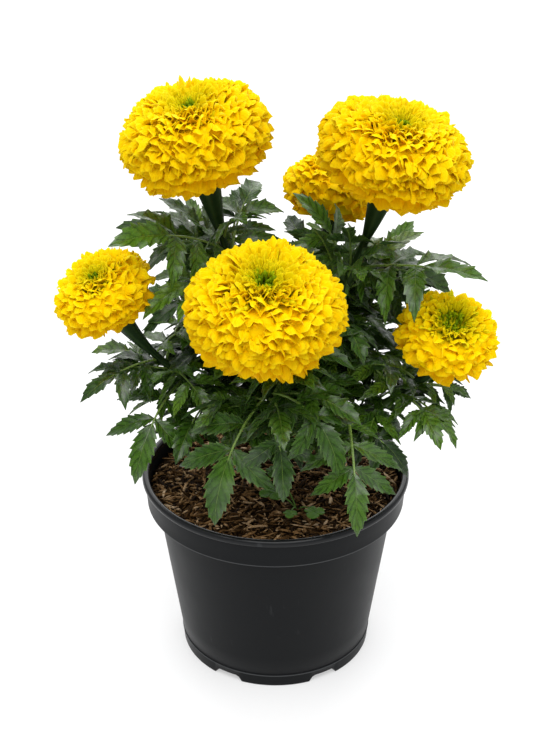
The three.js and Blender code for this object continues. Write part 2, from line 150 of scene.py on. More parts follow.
def add_piece(name, material, slot, nodes, points, faces, uv=None, sharp_angle=None, **attributes):
    """Makes a piece from points in millimetres and a list of face arrays with three or four corners each.

    uv gives two pattern coordinates a point, and every other attribute gives one value a point. A point
    that no face uses is left out.
    """
    sizes = np.concatenate([np.full(len(part), part.shape[1]) for part in faces])
    used, corners = np.unique(np.concatenate([part.ravel() for part in faces]), return_inverse=True)
    mesh = bpy.data.meshes.new(name)
    mesh.vertices.add(len(used))
    mesh.vertices.foreach_set("co", (points.reshape(-1, 3)[used] * MM).astype(np.float32).ravel())
    mesh.loops.add(len(corners))
    mesh.loops.foreach_set("vertex_index", corners.astype(np.int32))
    mesh.polygons.add(len(sizes))
    mesh.polygons.foreach_set("loop_start", np.concatenate([[0], np.cumsum(sizes)[:-1]]).astype(np.int32))
    mesh.polygons.foreach_set("use_smooth", np.ones(len(sizes), bool))
    if uv is not None:
        layer = mesh.uv_layers.new(name="pattern")
        layer.data.foreach_set("uv", uv[used][corners].astype(np.float32).ravel())
    for key, values in attributes.items():
        layer = mesh.attributes.new(key, "FLOAT", "POINT")
        layer.data.foreach_set("value", values[used].astype(np.float32))
    mesh.update()
    if sharp_angle is not None:
        mesh.set_sharp_from_angle(angle=math.radians(sharp_angle))
    mesh.materials.append(material)
    piece = bpy.data.objects.new(name, mesh)
    bpy.context.collection.objects.link(piece)
    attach(piece, "root")
    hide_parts(*nodes)
    print(f"{name}: {len(used)} points, {len(sizes)} faces")
    return piece


def repeat_faces(faces, count, stride):
    """The same faces on each of many equal shapes, whose points follow each other at a stride."""
    starts = stride * np.arange(count)[:, None, None]
    return [(part[None] + starts).reshape(-1, part.shape[1]) for part in faces]


print("a triangle repeated:", repeat_faces([np.array([[0, 1, 2]])], 3, 3)[0].tolist())

# %% Closed blades
BLADE_RIM_ANGLE = 110  # degrees: the normals of a blade turn by more than this only at its rim


def blade_faces(rows, columns):
    """Faces of one blade: an upper grid, and a lower grid that shares the rim of the upper one."""
    upper = np.arange(rows * columns).reshape(rows, columns)
    lower = upper.copy()
    inner = (rows - 2) * (columns - 2)
    lower[1:-1, 1:-1] = rows * columns + np.arange(inner).reshape(rows - 2, columns - 2)
    sides = []
    for grid, order in ((upper, (0, 1, 2, 3)), (lower, (3, 2, 1, 0))):
        quads = np.stack([grid[:-1, :-1], grid[1:, :-1], grid[1:, 1:], grid[:-1, 1:]], -1).reshape(-1, 4)
        sides.append(quads[:, order])
    return np.concatenate(sides)


def close_blades(middle, thickness):
    """Upper and lower skins of blades from their middle surfaces, an array of [blade, row, column, xyz].

    The surface normal is the cross product of the steps along the rows and the columns. Both skins stand
    off the middle by half the thickness, except at the rim, where they meet.
    """
    count, rows, columns, _ = middle.shape
    normal = unit(np.cross(np.gradient(middle, axis=1), np.gradient(middle, axis=2)))
    inside = np.zeros((rows, columns, 1))
    inside[1:-1, 1:-1] = 0.5 * thickness
    points = np.concatenate([
        (middle + normal * inside).reshape(count, -1, 3),
        (middle - normal * inside)[:, 1:-1, 1:-1].reshape(count, -1, 3),
    ], 1)
    return points, repeat_faces([blade_faces(rows, columns)], count, points.shape[1])


def blade_pattern(rows, columns, count):
    """Pattern coordinates of blades: x runs from root to end, and y from 0 to 1 across, on both skins."""
    grid = np.stack(np.meshgrid(rows, 0.5 + 0.5 * columns, indexing="ij"), -1)
    return np.tile(np.concatenate([grid.reshape(-1, 2), grid[1:-1, 1:-1].reshape(-1, 2)]), (count, 1))


print("the smallest blade has", len(blade_faces(3, 3)), "faces")

# %% Tubes along paths and turned shapes
def ring_faces(rings, sides):
    """Faces of a closed skin over rings of points: quads between the rings, and triangles at the poles.

    The first and the last ring are poles, where only the first point counts.
    """
    ring = np.arange(rings * sides).reshape(rings, sides)
    after = np.roll(ring, -1, 1)
    quads = np.stack([ring[1:-2], after[1:-2], after[2:-1], ring[2:-1]], -1).reshape(-1, 4)
    start = np.stack([0 * ring[1], after[1], ring[1]], -1)
    end = np.stack([ring[-2], after[-2], np.full(sides, ring[-1, 0])], -1)
    return [quads, np.concatenate([start, end])]


def tubes(paths, radii, sides):
    """Closed round tubes, one for each path of an array [tube, step, xyz], with a radius at each step.

    A fixed direction crossed with the path's tangent gives the first axis of every section, and the
    tangent crossed with that gives the second. Both ends shrink to a point.
    """
    count, steps, _ = paths.shape
    tangent = unit(np.gradient(paths, axis=1))
    across = unit(np.cross(tangent, np.array([0.6, 0.8, 0.05])))
    over = np.cross(tangent, across)
    turn = full_turn(sides)[:, None]
    radii = np.broadcast_to(radii, (count, steps, sides)).copy()
    radii[:, [0, -1]] = 0
    circle = np.cos(turn) * across[:, :, None] + np.sin(turn) * over[:, :, None]
    points = paths[:, :, None] + radii[..., None] * circle
    return points.reshape(-1, 3), repeat_faces(ring_faces(steps, sides), count, steps * sides)


def turned(profile, sides):
    """A surface of revolution about +Z: the profile's radius and height, carried round in even steps.

    The profile starts and ends on the axis. The points stay in rows, one for each point of the profile.
    """
    profile = np.asarray(profile, float)
    radius, height = profile[:, :1], profile[:, 1:]
    x, y = swing(radius, 0, full_turn(sides))
    return np.stack([x, y, height + 0 * x], -1), ring_faces(len(profile), sides)


print("a tube of 4 rings with 6 sides has", sum(len(part) for part in ring_faces(4, 6)), "faces")

# %% [markdown]
# ## Tools for materials
#
# A material here is a small graph of nodes. Two effects come back in most of them, so each is a node group
# that is built once: a mottle, which is soft cloudy variation at a chosen scale, and ribs, which are the
# fine lines that leave the middle line of a leaflet on both sides.

# %% Short ways to build node graphs
def place_node(tree, kind, inputs=None, **settings):
    """Adds a shader node, sets it up, and fills its inputs with values or with links from other nodes."""
    made = tree.nodes.new("ShaderNode" + kind)
    for key, value in settings.items():
        setattr(made, key, value)
    for key, value in (inputs or {}).items():
        if isinstance(value, bpy.types.NodeSocket):
            tree.links.new(value, made.inputs[key])
        else:
            made.inputs[key].default_value = value
    return made


def calculate(tree, operation, *values):
    """One Math node on one, two or three values."""
    return place_node(tree, "Math", dict(enumerate(values)), operation=operation).outputs[0]


def off_centre(tree, value, centre):
    """How far a value is from a centre, on either side of it."""
    return calculate(tree, "ABSOLUTE", calculate(tree, "SUBTRACT", value, centre))


def spread(tree, value, low, high, new_low, new_high):
    """Maps a value from one range to another, held at the ends."""
    inputs = {0: value, 1: low, 2: high, 3: new_low, 4: new_high}
    return place_node(tree, "MapRange", inputs).outputs[0]


def blend_colours(tree, share, first, second):
    """A Mix node for colours: share 0 gives the first and 1 the second. A plain colour is three numbers."""
    ends = [end if isinstance(end, bpy.types.NodeSocket) else (*end, 1) for end in (first, second)]
    return place_node(tree, "Mix", {0: share, 6: ends[0], 7: ends[1]}, data_type="RGBA").outputs[2]


def ramp(tree, value, stops):
    """A colour ramp through a list of (place, colour) stops."""
    made = place_node(tree, "ValToRGB", {0: value})
    points = made.color_ramp.elements
    while len(points) < len(stops):
        points.new(0.5)
    for point, (place, colour) in zip(points, stops):
        point.position = place
        point.color = (*colour, 1)
    return made.outputs[0]


def attribute(tree, name):
    """The value that the mesh stores under a name."""
    return place_node(tree, "Attribute", attribute_name=name).outputs["Fac"]


def object_place(tree):
    """The place of a surface point on the object, which moves with it."""
    return place_node(tree, "TexCoord").outputs["Object"]


def pattern_place(tree):
    """The place on the piece's own pattern: x runs along a blade, and y across it."""
    return place_node(tree, "UVMap", uv_map="pattern").outputs[0]


def coordinate(tree, place, axis):
    """One of the three numbers of a place."""
    return place_node(tree, "SeparateXYZ", {0: place}).outputs[axis]


HELPERS = (place_node, calculate, off_centre, spread, blend_colours, ramp, attribute, coordinate)
print("node helpers:", ", ".join(helper.__name__ for helper in HELPERS))

# %% The two shared effects
def group_with(name, inputs):
    """An empty node group with number inputs, one vector input called Place, and one output, Value."""
    group = bpy.data.node_groups.new(name, "ShaderNodeTree")
    group.interface.new_socket("Place", in_out="INPUT", socket_type="NodeSocketVector")
    for key, value in inputs.items():
        group.interface.new_socket(key, in_out="INPUT", socket_type="NodeSocketFloat").default_value = value
    group.interface.new_socket("Value", in_out="OUTPUT", socket_type="NodeSocketFloat")
    return group, group.nodes.new("NodeGroupInput").outputs, group.nodes.new("NodeGroupOutput").inputs


def make_mottle():
    """Cloudy noise at a scale, spread to run from Low to High."""
    group, given, result = group_with("Mottle", {"Scale": 100.0, "Low": 0.0, "High": 1.0})
    inputs = {"Vector": given["Place"], "Scale": given["Scale"], "Detail": 4.0, "Roughness": 0.6}
    noise = place_node(group, "TexNoise", inputs)
    value = spread(group, noise.outputs[0], 0.3, 0.7, given["Low"], given["High"])
    group.links.new(value, result["Value"])
    return group


def make_ribs():
    """Thin lines that leave the middle line (across = 0.5) at a slant: 1 on a line and 0 between lines.

    The line count runs along x, and the slant bends each line towards the tip as it goes outwards.
    """
    group, given, result = group_with("Ribs", {"Lines": 7.0, "Slant": 0.5, "Width": 0.2})
    outwards = off_centre(group, coordinate(group, given["Place"], 1), 0.5)
    slanted = calculate(group, "MULTIPLY", outwards, given["Slant"])
    along = calculate(group, "SUBTRACT", coordinate(group, given["Place"], 0), slanted)
    phase = calculate(group, "FRACT", calculate(group, "MULTIPLY", along, given["Lines"]))
    distance = off_centre(group, phase, 0.5)
    group.links.new(spread(group, distance, 0.0, given["Width"], 1.0, 0.0), result["Value"])
    return group


MOTTLE = make_mottle()
RIBS = make_ribs()
print("shared effects:", MOTTLE.name, "and", RIBS.name)

# %% Start and end of a material
def mottle(tree, place, scale, low=0.0, high=1.0):
    """Places the shared mottle in a material."""
    inputs = {"Place": place, "Scale": scale, "Low": low, "High": high}
    return place_node(tree, "Group", inputs, node_tree=MOTTLE).outputs["Value"]


def ribs(tree, place, lines, slant, width):
    """Places the shared ribs in a material."""
    inputs = {"Place": place, "Lines": lines, "Slant": slant, "Width": width}
    return place_node(tree, "Group", inputs, node_tree=RIBS).outputs["Value"]


def new_material(name, **constants):
    """A material with one Principled shader. Values that are the same all over are set on its sockets."""
    material = bpy.data.materials.new(name)
    material.use_nodes = True
    shader = material.node_tree.nodes["Principled BSDF"]
    for key, value in constants.items():
        shader.inputs[key.replace("_", " ")].default_value = value
    return material, material.node_tree


def connect_finish(material, colour, roughness, height=None, strength=0.4, distance=0.0005, coat=None):
    """Feeds a colour, a roughness, a coat and, through a Bump node, a height into a material's shader."""
    tree = material.node_tree
    feeds = {"Base Color": colour, "Roughness": roughness}
    if coat is not None:
        feeds["Coat Weight"] = coat
    if height is not None:
        bump = {"Height": height, "Strength": strength, "Distance": distance}
        feeds["Normal"] = place_node(tree, "Bump", bump).outputs[0]
    for key, value in feeds.items():
        tree.links.new(value, tree.nodes["Principled BSDF"].inputs[key])
    print(f"{material.name}: {len(tree.nodes)} nodes")
    return material


print("sockets of the mottle:", [socket.name for socket in MOTTLE.interface.items_tree])

# %% [markdown]
# ## Floor
#
# The photograph's ground is plain white, with hardly any shadow except close to the pot. A curved backdrop
# would do, but one large plane is enough, far wider than the view, with a little light of its own that
# lifts the shadow.

# %% Floor
FLOOR_HALF = 6.0  # metres
FLOOR_GLOW = 0.46


def make_floor():
    """A square of four corners that glows a little, as a light table does."""
    corners = [(FLOOR_HALF * x, FLOOR_HALF * y, 0) for x, y in ((-1, -1), (1, -1), (1, 1), (-1, 1))]
    mesh = bpy.data.meshes.new("floor")
    mesh.from_pydata(corners, [], [(0, 1, 2, 3)])
    material, tree = new_material(
        "white table", Specular_IOR_Level=0.2, Emission_Color=(1, 1, 1, 1), Emission_Strength=FLOOR_GLOW,
    )
    cloud = mottle(tree, object_place(tree), 3.0)
    colour = blend_colours(tree, cloud, (0.47, 0.47, 0.47), (0.49, 0.49, 0.49))
    mesh.materials.append(connect_finish(material, colour, spread(tree, cloud, 0, 1, 0.6, 0.7)))
    floor = bpy.data.objects.new("floor", mesh)
    bpy.context.collection.objects.link(floor)


make_floor()

# %% [markdown]
# ## Pot
#
# A thin black nursery pot is blown or moulded in one piece: a rolled rim, a broad band, a tapering body and
# a notched foot ring. It is a surface of revolution, so one profile carried round an axis makes it. The
# notches are made by lifting the lowest points of the profile where a notch is, so no cutting is needed,
# and only the drain holes are cut with a Boolean.

# %% Sizes of the pot
POT_HEIGHT = 113.5
RIM_RADIUS = 76
RIM_ROLL = 2.1  # radius of the rolled rim
BAND_BOTTOM = 95.8
BAND_RADIUS = 73.5
BODY_TOP_RADIUS = 67.7
BODY_FOOT_RADIUS = 55.7
FOOT_HEIGHT = 7.5
FOOT_RADIUS = 55.3
WALL = 1.8
EDGE = 0.5  # rounding of the small edges
FLOOR_LEVEL = 5
POT_SIDES = 192


def body_radius(height):
    """The outer radius of the tapering body, on the straight line from its foot to its top."""
    return between(BODY_FOOT_RADIUS, BODY_TOP_RADIUS, (height - FOOT_HEIGHT) / (BAND_BOTTOM - FOOT_HEIGHT))


print(f"pot: {2 * RIM_RADIUS} mm across its rim and {POT_HEIGHT} mm high")

# %% Section of the pot
def arc(centre, radius, start, end, steps):
    """Points on a circular arc in the profile's plane, with angles in degrees."""
    turn = np.radians(np.linspace(start, end, steps))
    return list(zip(centre[0] + radius * np.cos(turn), centre[1] + radius * np.sin(turn)))


def pot_profile():
    """The section of the pot: floor, foot ring, body, band, rolled rim, and back down the inside."""
    inner_floor = FLOOR_LEVEL + WALL
    inner_ring = FOOT_RADIUS - 2 * WALL
    rim_bottom = POT_HEIGHT - 4.4
    body = [
        (between(BODY_FOOT_RADIUS, BODY_TOP_RADIUS, t), between(FOOT_HEIGHT + 0.8, BAND_BOTTOM - 0.8, t))
        for t in np.linspace(0, 1, 8)
    ]
    return [
        (0, FLOOR_LEVEL),
        (inner_ring, FLOOR_LEVEL),
        (inner_ring, EDGE),
        (inner_ring + EDGE, 0),
        (FOOT_RADIUS - EDGE, 0),
        (FOOT_RADIUS, EDGE),
        *arc((FOOT_RADIUS + 0.3, FOOT_HEIGHT), 0.45, -60, 110, 6),
        *body,
        (BODY_TOP_RADIUS + 0.1, BAND_BOTTOM - 0.2),
        (BODY_TOP_RADIUS + 0.7, BAND_BOTTOM),
        *arc((BAND_RADIUS - EDGE, BAND_BOTTOM + EDGE), EDGE, -90, 20, 5),
        (between(BAND_RADIUS, RIM_RADIUS - 1.6, 0.5), between(BAND_BOTTOM, rim_bottom, 0.5)),
        (RIM_RADIUS - 1.7, rim_bottom),
        *arc((RIM_RADIUS - RIM_ROLL, POT_HEIGHT - RIM_ROLL), RIM_ROLL, -70, 150, 12),
        (RIM_RADIUS - 4.1, POT_HEIGHT - 2.4),
        (BAND_RADIUS - WALL, BAND_BOTTOM + WALL),
        (BODY_TOP_RADIUS - WALL, BAND_BOTTOM + WALL - 0.6),
        (body_radius(inner_floor) - WALL, inner_floor),
        (0, inner_floor),
    ]


print("points in the section:", len(pot_profile()))

# %% [markdown]
# The plastic is black and satin, not glossy. It could be one flat colour, but a real pot shows where it was
# rubbed and where the mould met at its foot, so soft clouds change its gloss, rub marks stretched upwards
# lighten it in places, and two thin pale lines run round it: a mould line at the foot, and a painted
# highlight along the lower edge of the band. Only the rolled rim has a faint coat.

# %% Pot finish
def make_pot_material():
    """Black satin plastic: cloudy gloss, upright rub marks, foot mould line, painted highlight below the
    band.
    """
    material, tree = new_material("black plastic", Specular_IOR_Level=0.09, Coat_Roughness=0.16)
    place = object_place(tree)
    height = coordinate(tree, place, 2)
    upright = place_node(tree, "Mapping", {"Vector": place, "Scale": (1.0, 1.0, 0.12)}).outputs[0]
    cloud = mottle(tree, place, 28.0)
    streaks = spread(tree, mottle(tree, upright, 260.0), 0.8, 1.0, 0, 1)
    scuff = calculate(tree, "MULTIPLY", streaks, spread(tree, cloud, 0.55, 0.9, 0, 1))
    # Two pale rings: the one just under the band is a painted highlight along its lower edge, the one at the
    # foot a mould line.
    lines = [
        spread(tree, off_centre(tree, height, level * MM), 0.0, 0.0005, 1, 0)
        for level in (BAND_BOTTOM + 0.4, FOOT_HEIGHT)
    ]
    # Rub marks, the mould line and the painted edge highlight lighten the black together.
    marks_and_edge_highlight = calculate(tree, "MULTIPLY", scuff, 0.5)
    for line in lines:
        marks_and_edge_highlight = calculate(tree, "MAXIMUM", marks_and_edge_highlight, line)
    colour = blend_colours(tree, marks_and_edge_highlight, (0.0065, 0.0072, 0.008), (0.07, 0.073, 0.076))
    rim = spread(tree, height, (POT_HEIGHT - 5) * MM, (POT_HEIGHT - 2) * MM, 0, 1)
    satin = calculate(tree, "MULTIPLY_ADD", scuff, 0.15, spread(tree, cloud, 0, 1, 0.36, 0.44))
    roughness = calculate(tree, "MULTIPLY_ADD", rim, -0.12, satin)
    coat = calculate(tree, "MULTIPLY", rim, 0.25)
    grain = mottle(tree, place, 1500.0)
    return connect_finish(material, colour, roughness, grain, strength=0.12, distance=0.0001, coat=coat)


POT_MATERIAL = make_pot_material()

# %% Notches and drain holes
NOTCH_COUNT = 6
NOTCH_WIDTH = 15.5
NOTCH_HEIGHT = 4
NOTCH_EASE = 1.2  # half the width of the rounded step at each side of a notch
DRAIN_RADIUS = 4
DRAIN_RING = FOOT_RADIUS - 16
DRILL_LEVELS = (FLOOR_LEVEL - 3, FLOOR_LEVEL - 2.9, FLOOR_LEVEL + 5.9, FLOOR_LEVEL + 6)
DRILL_SIDES = 20


def lift_notches(points):
    """Raises every point that lies below a notch to the notch's height, eased at the notch's sides."""
    pitch = 2 * np.pi / NOTCH_COUNT
    off_notch = np.abs((full_turn(POT_SIDES) + pitch / 2) % pitch - pitch / 2) * FOOT_RADIUS
    low, high = NOTCH_WIDTH / 2 - NOTCH_EASE, NOTCH_WIDTH / 2 + NOTCH_EASE
    points[..., 2] = np.maximum(points[..., 2], NOTCH_HEIGHT * (1 - ease(low, high, off_notch)))


def drill_drain_holes(pot):
    """Cuts a round hole through the floor behind each notch with one Boolean of six short rods."""
    paths = np.array([
        [(DRAIN_RING * math.cos(turn), DRAIN_RING * math.sin(turn), level) for level in DRILL_LEVELS]
        for turn in full_turn(NOTCH_COUNT)
    ])
    points, faces = tubes(paths, DRAIN_RADIUS, DRILL_SIDES)
    mesh = bpy.data.meshes.new("drill")
    mesh.from_pydata((points * MM).tolist(), [], [face for part in faces for face in part.tolist()])
    drill = bpy.data.objects.new("drill", mesh)
    bpy.context.collection.objects.link(drill)
    holes = pot.modifiers.new("drain holes", "BOOLEAN")
    holes.object = drill
    with bpy.context.temp_override(object=pot):
        bpy.ops.object.modifier_apply(modifier=holes.name)
    bpy.data.objects.remove(drill)
    print("pot after drilling:", len(pot.data.polygons), "faces")


pot_points, pot_faces = turned(pot_profile(), POT_SIDES)
lift_notches(pot_points)
drill_drain_holes(
    add_piece("nursery_pot", POT_MATERIAL, "pot_plastic", ["pot"], pot_points, pot_faces, sharp_angle=35)
)

# %% [markdown]
# ## Plan of the plant
#
# These are nearly the same driving values as in the solid model, so that every finer piece lies on its
# solid: six heads with a centre, a lean, a radius and a half height, and stems as Bezier curves. A leaf is
# given by its place on the stem, the point its tip reaches and how far it droops on the way, in degrees.

# %% Blooms
BLOOMS = {
    name: {"centre": centre, "lean": lean, "radius": radius, "rise": rise, "form": form}
    for name, centre, lean, radius, rise, form in (
        ("front", (-5, -60, 238), (0, -0.26), 39.5, 29, "full"),
        ("top_left", (-40, 0, 307), (-0.2, -0.16), 38.5, 26, "full"),
        ("top_right", (60, 0, 298.5), (0.22, -0.14), 39.5, 24, "full"),
        ("left", (-88, -22, 231.5), (-0.42, -0.3), 26.5, 17.5, "small"),
        ("right", (90, -22, 206), (0.18, -0.45), 26, 19, "young"),
        ("back", (33, 68, 255), (0.05, 0.15), 28, 20, "small"),
    )
}
SEAM = 0.3  # the gap that keeps neighbouring solids apart
SEAT_DEPTH = 0.62  # how far below its centre a head sits on its stem, as a share of its half height


def head_axis(bloom):
    """The unit axis of a head from its lean."""
    return unit(np.array([*bloom["lean"], 1.0]))


print("blooms:", {name: bloom["form"] for name, bloom in BLOOMS.items()})

# %% Stems and large leaves
MAIN_BASE = (0, 0, 72)
# A branch starts on the main stem at the share "from", and bends towards the point "pull". The last "neck"
# millimetres under a bloom run along the head's axis. Each leaf has its place on the stem, as a share, the
# point its tip reaches, and its droop. The radii run from the stem's base to its calyx.
STEMS = {
    "main_stem": {
        "pull": (0, 4, 160), "neck": 78, "bloom": "top_right", "radii": (3.6, 3.5, 3.2, 2.8, 2.4, 2.2),
        "leaves": [
            (0.76, (107, -38, 246), 28), (0.7, (92, 8, 222), 45),
            (0.64, (16, -16, 268), 60), (0.72, (36, 66, 214), 70),
            (0.7, (10, 14, 273), 60), (0.74, (36, -12, 264), 80),
        ],
    },
    "branch_top_left": {
        "from": 0.4, "pull": (-12, 9, 182), "neck": 56, "bloom": "top_left",
        "leaves": [
            (0.7, (-80, -38, 266), 40), (0.62, (-84, 24, 250), 50), (0.55, (-66, -36, 226), 75),
            (0.66, (-18, 52, 262), 60), (0.74, (-14, -26, 272), 70),
        ],
    },
    "branch_front": {
        "from": 0.3, "pull": (-2, -24, 156), "neck": 38, "bloom": "front",
        "leaves": [
            (0.62, (-31, -80, 130), 75), (0.6, (4, -78, 140), 90),
            (0.62, (32, -74, 153), 110), (0.45, (-42, -58, 172), 60),
        ],
    },
    "branch_left": {
        "from": 0.24, "pull": (-24, -2, 152), "neck": 46, "bloom": "left",
        "leaves": [
            (0.56, (-74, -54, 138), 70), (0.62, (-92, -28, 188), 30),
            (0.5, (-92, 26, 170), 60), (0.4, (-52, -56, 150), 60),
        ],
    },
    "branch_right": {
        "from": 0.26, "pull": (46, -12, 148), "neck": 30, "bloom": "right",
        "leaves": [(0.6, (86, -54, 158), 60), (0.66, (108, -4, 160), 50), (0.42, (88, 26, 166), 60)],
    },
    "branch_back": {
        "from": 0.38, "pull": (6, 26, 174), "neck": 40, "bloom": "back",
        "leaves": [(0.56, (70, 74, 200), 60), (0.6, (-14, 86, 206), 70), (0.5, (24, 97, 176), 70)],
    },
    "shoot_front_right": {
        "from": 0.2, "pull": (20, -16, 150), "tip": (40, -40, 170),
        "leaves": [(0.96, (42, -84, 126), 60), (0.8, (70, -44, 136), 65)],
    },
    "shoot_left_back": {
        "from": 0.32, "pull": (-12, 20, 166), "tip": (-38, 34, 222),
        "leaves": [(0.6, (-88, 52, 196), 60), (0.8, (-48, 86, 214), 60), (0.98, (-50, 60, 254), 50)],
    },
    "shoot_right_back": {
        "from": 0.29, "pull": (26, 10, 156), "tip": (56, 32, 208),
        "leaves": [(0.7, (98, 46, 182), 60), (0.85, (78, 70, 234), 50), (0.97, (96, 16, 206), 50)],
    },
}


def bezier(points, t):
    """Points on a Bezier curve: repeated blending of its neighbouring control points."""
    t = np.asarray(t, float)[..., None]
    level = [np.asarray(point, float) + 0 * t for point in points]
    while len(level) > 1:
        level = [between(a, b, t) for a, b in zip(level, level[1:])]
    return level[0]


def stem_controls(name):
    """Control points of a stem: it starts on the main stem and meets its head along the head's axis."""
    stem = STEMS[name]
    base = MAIN_BASE if name == "main_stem" else bezier(stem_controls("main_stem"), stem["from"])
    if "bloom" not in stem:
        return [base, stem["pull"], stem["tip"]]
    bloom = BLOOMS[stem["bloom"]]
    axis = head_axis(bloom)
    seat = np.array(bloom["centre"]) - (SEAT_DEPTH * bloom["rise"] + SEAM) * axis
    return [base, stem["pull"], seat - stem["neck"] * axis, seat]


print("stems:", len(STEMS), "large leaves:", sum(len(stem["leaves"]) for stem in STEMS.values()))

# %% [markdown]
# ## Leaves
#
# A marigold leaf is pinnate: leaflets in pairs along a rib and one larger leaflet at its tip, each with a
# sawtooth edge. The flat leaf is laid out first, with one formula for every leaflet. Then the whole layout
# is bent over an arc, as the solid leaf is, so that each leaflet follows its rib. Each leaflet is creased
# along its middle and a little twisted and rippled, because a perfectly flat leaf looks like paper.

# %% Two forms of leaf
def leaflet_table(pairs, terminal):
    """Rows of place along the rib, reach, angle from the rib in degrees, and half width.

    All but the angle are shares of the leaf's length.
    """
    sides = [(place, reach, side * angle, half) for place, reach, angle, half in pairs for side in (-1, 1)]
    return np.array([*sides, terminal])


# A form has its teeth on each side of a leaflet, its columns from edge to edge, and its leaflets.
LARGE_LEAF = {
    "teeth": 8, "columns": np.array([-1, -0.6, -0.12, 0.12, 0.6, 1]),
    "leaflets": leaflet_table(
        ((0.12, 0.27, 76, 0.048), (0.3, 0.42, 70, 0.08), (0.49, 0.39, 58, 0.08)), (0.53, 0.47, 0, 0.102),
    ),
}
SMALL_LEAF = {
    "teeth": 6, "columns": np.array([-1, -0.55, 0, 0.55, 1]),
    "leaflets": leaflet_table(((0.2, 0.43, 66, 0.086), (0.46, 0.42, 54, 0.09)), (0.56, 0.44, 0, 0.105)),
}
print("leaflets on a large and a small leaf:", *(len(leaf["leaflets"]) for leaf in (LARGE_LEAF, SMALL_LEAF)))

# %% Flat leaflets
TOOTH_DEPTH = 0.23
TOOTH_POINT = 0.9  # where along a tooth its point is
TOOTH_LEAN = 0.12  # how far the point of a tooth leans forwards, in teeth
WIDTH_POWER = 0.85  # below 1, it brings the widest place of a leaflet nearer to its base
CREASE, CROWN, RIPPLE = 0.8, 0.35, 0.2  # how high each lifts the edge of a leaflet, in half widths
TWISTS = (-0.3, 0.3)
CURLS_DOWN = (0.06, 0.24)  # how far the tip of a side leaflet hangs, as a share of its reach


def tooth_rows(form):
    """Rows along a leaflet: the start and the point of every tooth, and the leaflet's tip."""
    steps = np.array([0, TOOTH_POINT])
    return np.append((np.arange(form["teeth"])[:, None] + steps).ravel() / form["teeth"], 1.0)


def leaflet_grid(length, roll, seeds, form):
    """Flat coordinates of every leaflet: an array [leaf, leaflet, row, column] of along, across and lift.

    The half width follows a power of a parabola, wider below the middle, times a sawtooth that grows
    along each tooth and drops at its end. The tooth is pushed forward by as much as it has grown. The lift
    is a crease along the middle, a crown, a twist and a ripple, and side leaflets also curl down. The whole
    leaf is then rolled about its rib.
    """
    row = tooth_rows(form)[:, None]
    column = form["columns"]
    place, reach, angle, half = (form["leaflets"][:, i][None, :, None, None] for i in range(4))
    leaf, size, turn = (values[:, None, None, None] for values in (seeds, length, roll))
    leaflet = np.arange(len(form["leaflets"]))[None, :, None, None]
    paired = angle != 0
    wide = 4 * row**WIDTH_POWER * (1 - row**WIDTH_POWER)
    grown = (row * form["teeth"] + 1e-6) % 1 / TOOTH_POINT
    rim = np.abs(column) == 1
    sawtooth = np.where(rim, 1 - TOOTH_DEPTH * (1 - grown), 0.9)
    angle = np.radians(angle + 12 * (draw(leaf, leaflet + 20) - 0.5) * paired)
    reach = reach * size * (0.94 + 0.12 * draw(leaf, leaflet + 40))
    half = half * size * wide * sawtooth
    out = reach * (row + np.where(rim, TOOTH_LEAN / form["teeth"] * grown * wide, 0) + 0.05 * row**2)
    along, across = swing(out, column * half, angle)
    twist = between(*TWISTS, draw(leaf, leaflet + 60))
    ripple = RIPPLE * np.sin(2 * np.pi * (2.5 * row + draw(leaf, leaflet + 80)) + 2 * column)
    lift = half * ((CREASE + ripple) * np.abs(column) - CROWN * column**2 + twist * column)
    curl = between(*CURLS_DOWN, draw(leaf, leaflet + 100))
    lift = lift - curl * reach * row**2 * paired
    across, lift = swing(across, lift, turn)
    return np.broadcast_arrays(place * size + along, across, lift)


print("rows along a leaflet:", len(tooth_rows(LARGE_LEAF)), "and", len(tooth_rows(SMALL_LEAF)))

# %% Bend a leaf over its arc
SIDE_HANG = 0.8  # how far the sides of a leaf hang at one leaf's length from its rib, in lengths


def leaf_bend(base, tip, droop):
    """The arc that a leaf follows: heading, slope at its base, length, and slope lost for each millimetre."""
    chord = tip - base
    level = np.hypot(chord[:, 0], chord[:, 1])
    half = np.radians(droop) / 2
    length = np.linalg.norm(chord, axis=1) * half / np.sin(half)
    ahead = np.stack([chord[:, 0] / level, chord[:, 1] / level, 0 * level], -1)
    return ahead, np.arctan2(chord[:, 2], level) + half, length, 2 * half / length


def bend_leaf(base, bend, along, across, lift):
    """Moves flat leaf coordinates [leaf, ...] over the leaf's arc, as the solid leaves are.

    The slope falls evenly along the arc. Its sine and cosine, added up from the base, give the way forwards
    and upwards, and the lift is laid off square to the slope.
    """
    ahead, rise, length, curl = bend
    spare = (slice(None),) + (None,) * (along.ndim - 1)
    rise, length, curl = rise[spare], length[spare], curl[spare]
    lift = lift - SIDE_HANG * across**2 / length
    slope = rise - curl * along
    forward = (np.sin(rise) - np.sin(slope)) / curl - np.sin(slope) * lift
    up = (np.cos(slope) - np.cos(rise)) / curl + np.cos(slope) * lift
    left = np.stack([-ahead[:, 1], ahead[:, 0], 0 * ahead[:, 0]], -1)
    base, ahead, left = (vectors[spare] for vectors in (base, ahead, left))
    place = base + forward[..., None] * ahead + across[..., None] * left
    place[..., 2] += up
    return place


level_leaf = leaf_bend(np.zeros((1, 3)), np.array([[60.0, 0, 0]]), np.array([60.0]))
print(f"a leaf that droops 60 degrees over 60 mm is {level_leaf[2][0]:.1f} mm long")

# %% Blades and ribs for a list of leaves
BLADE_THICKNESS = 0.5
RIB_STEPS = 14
RIB_SIDES = 6


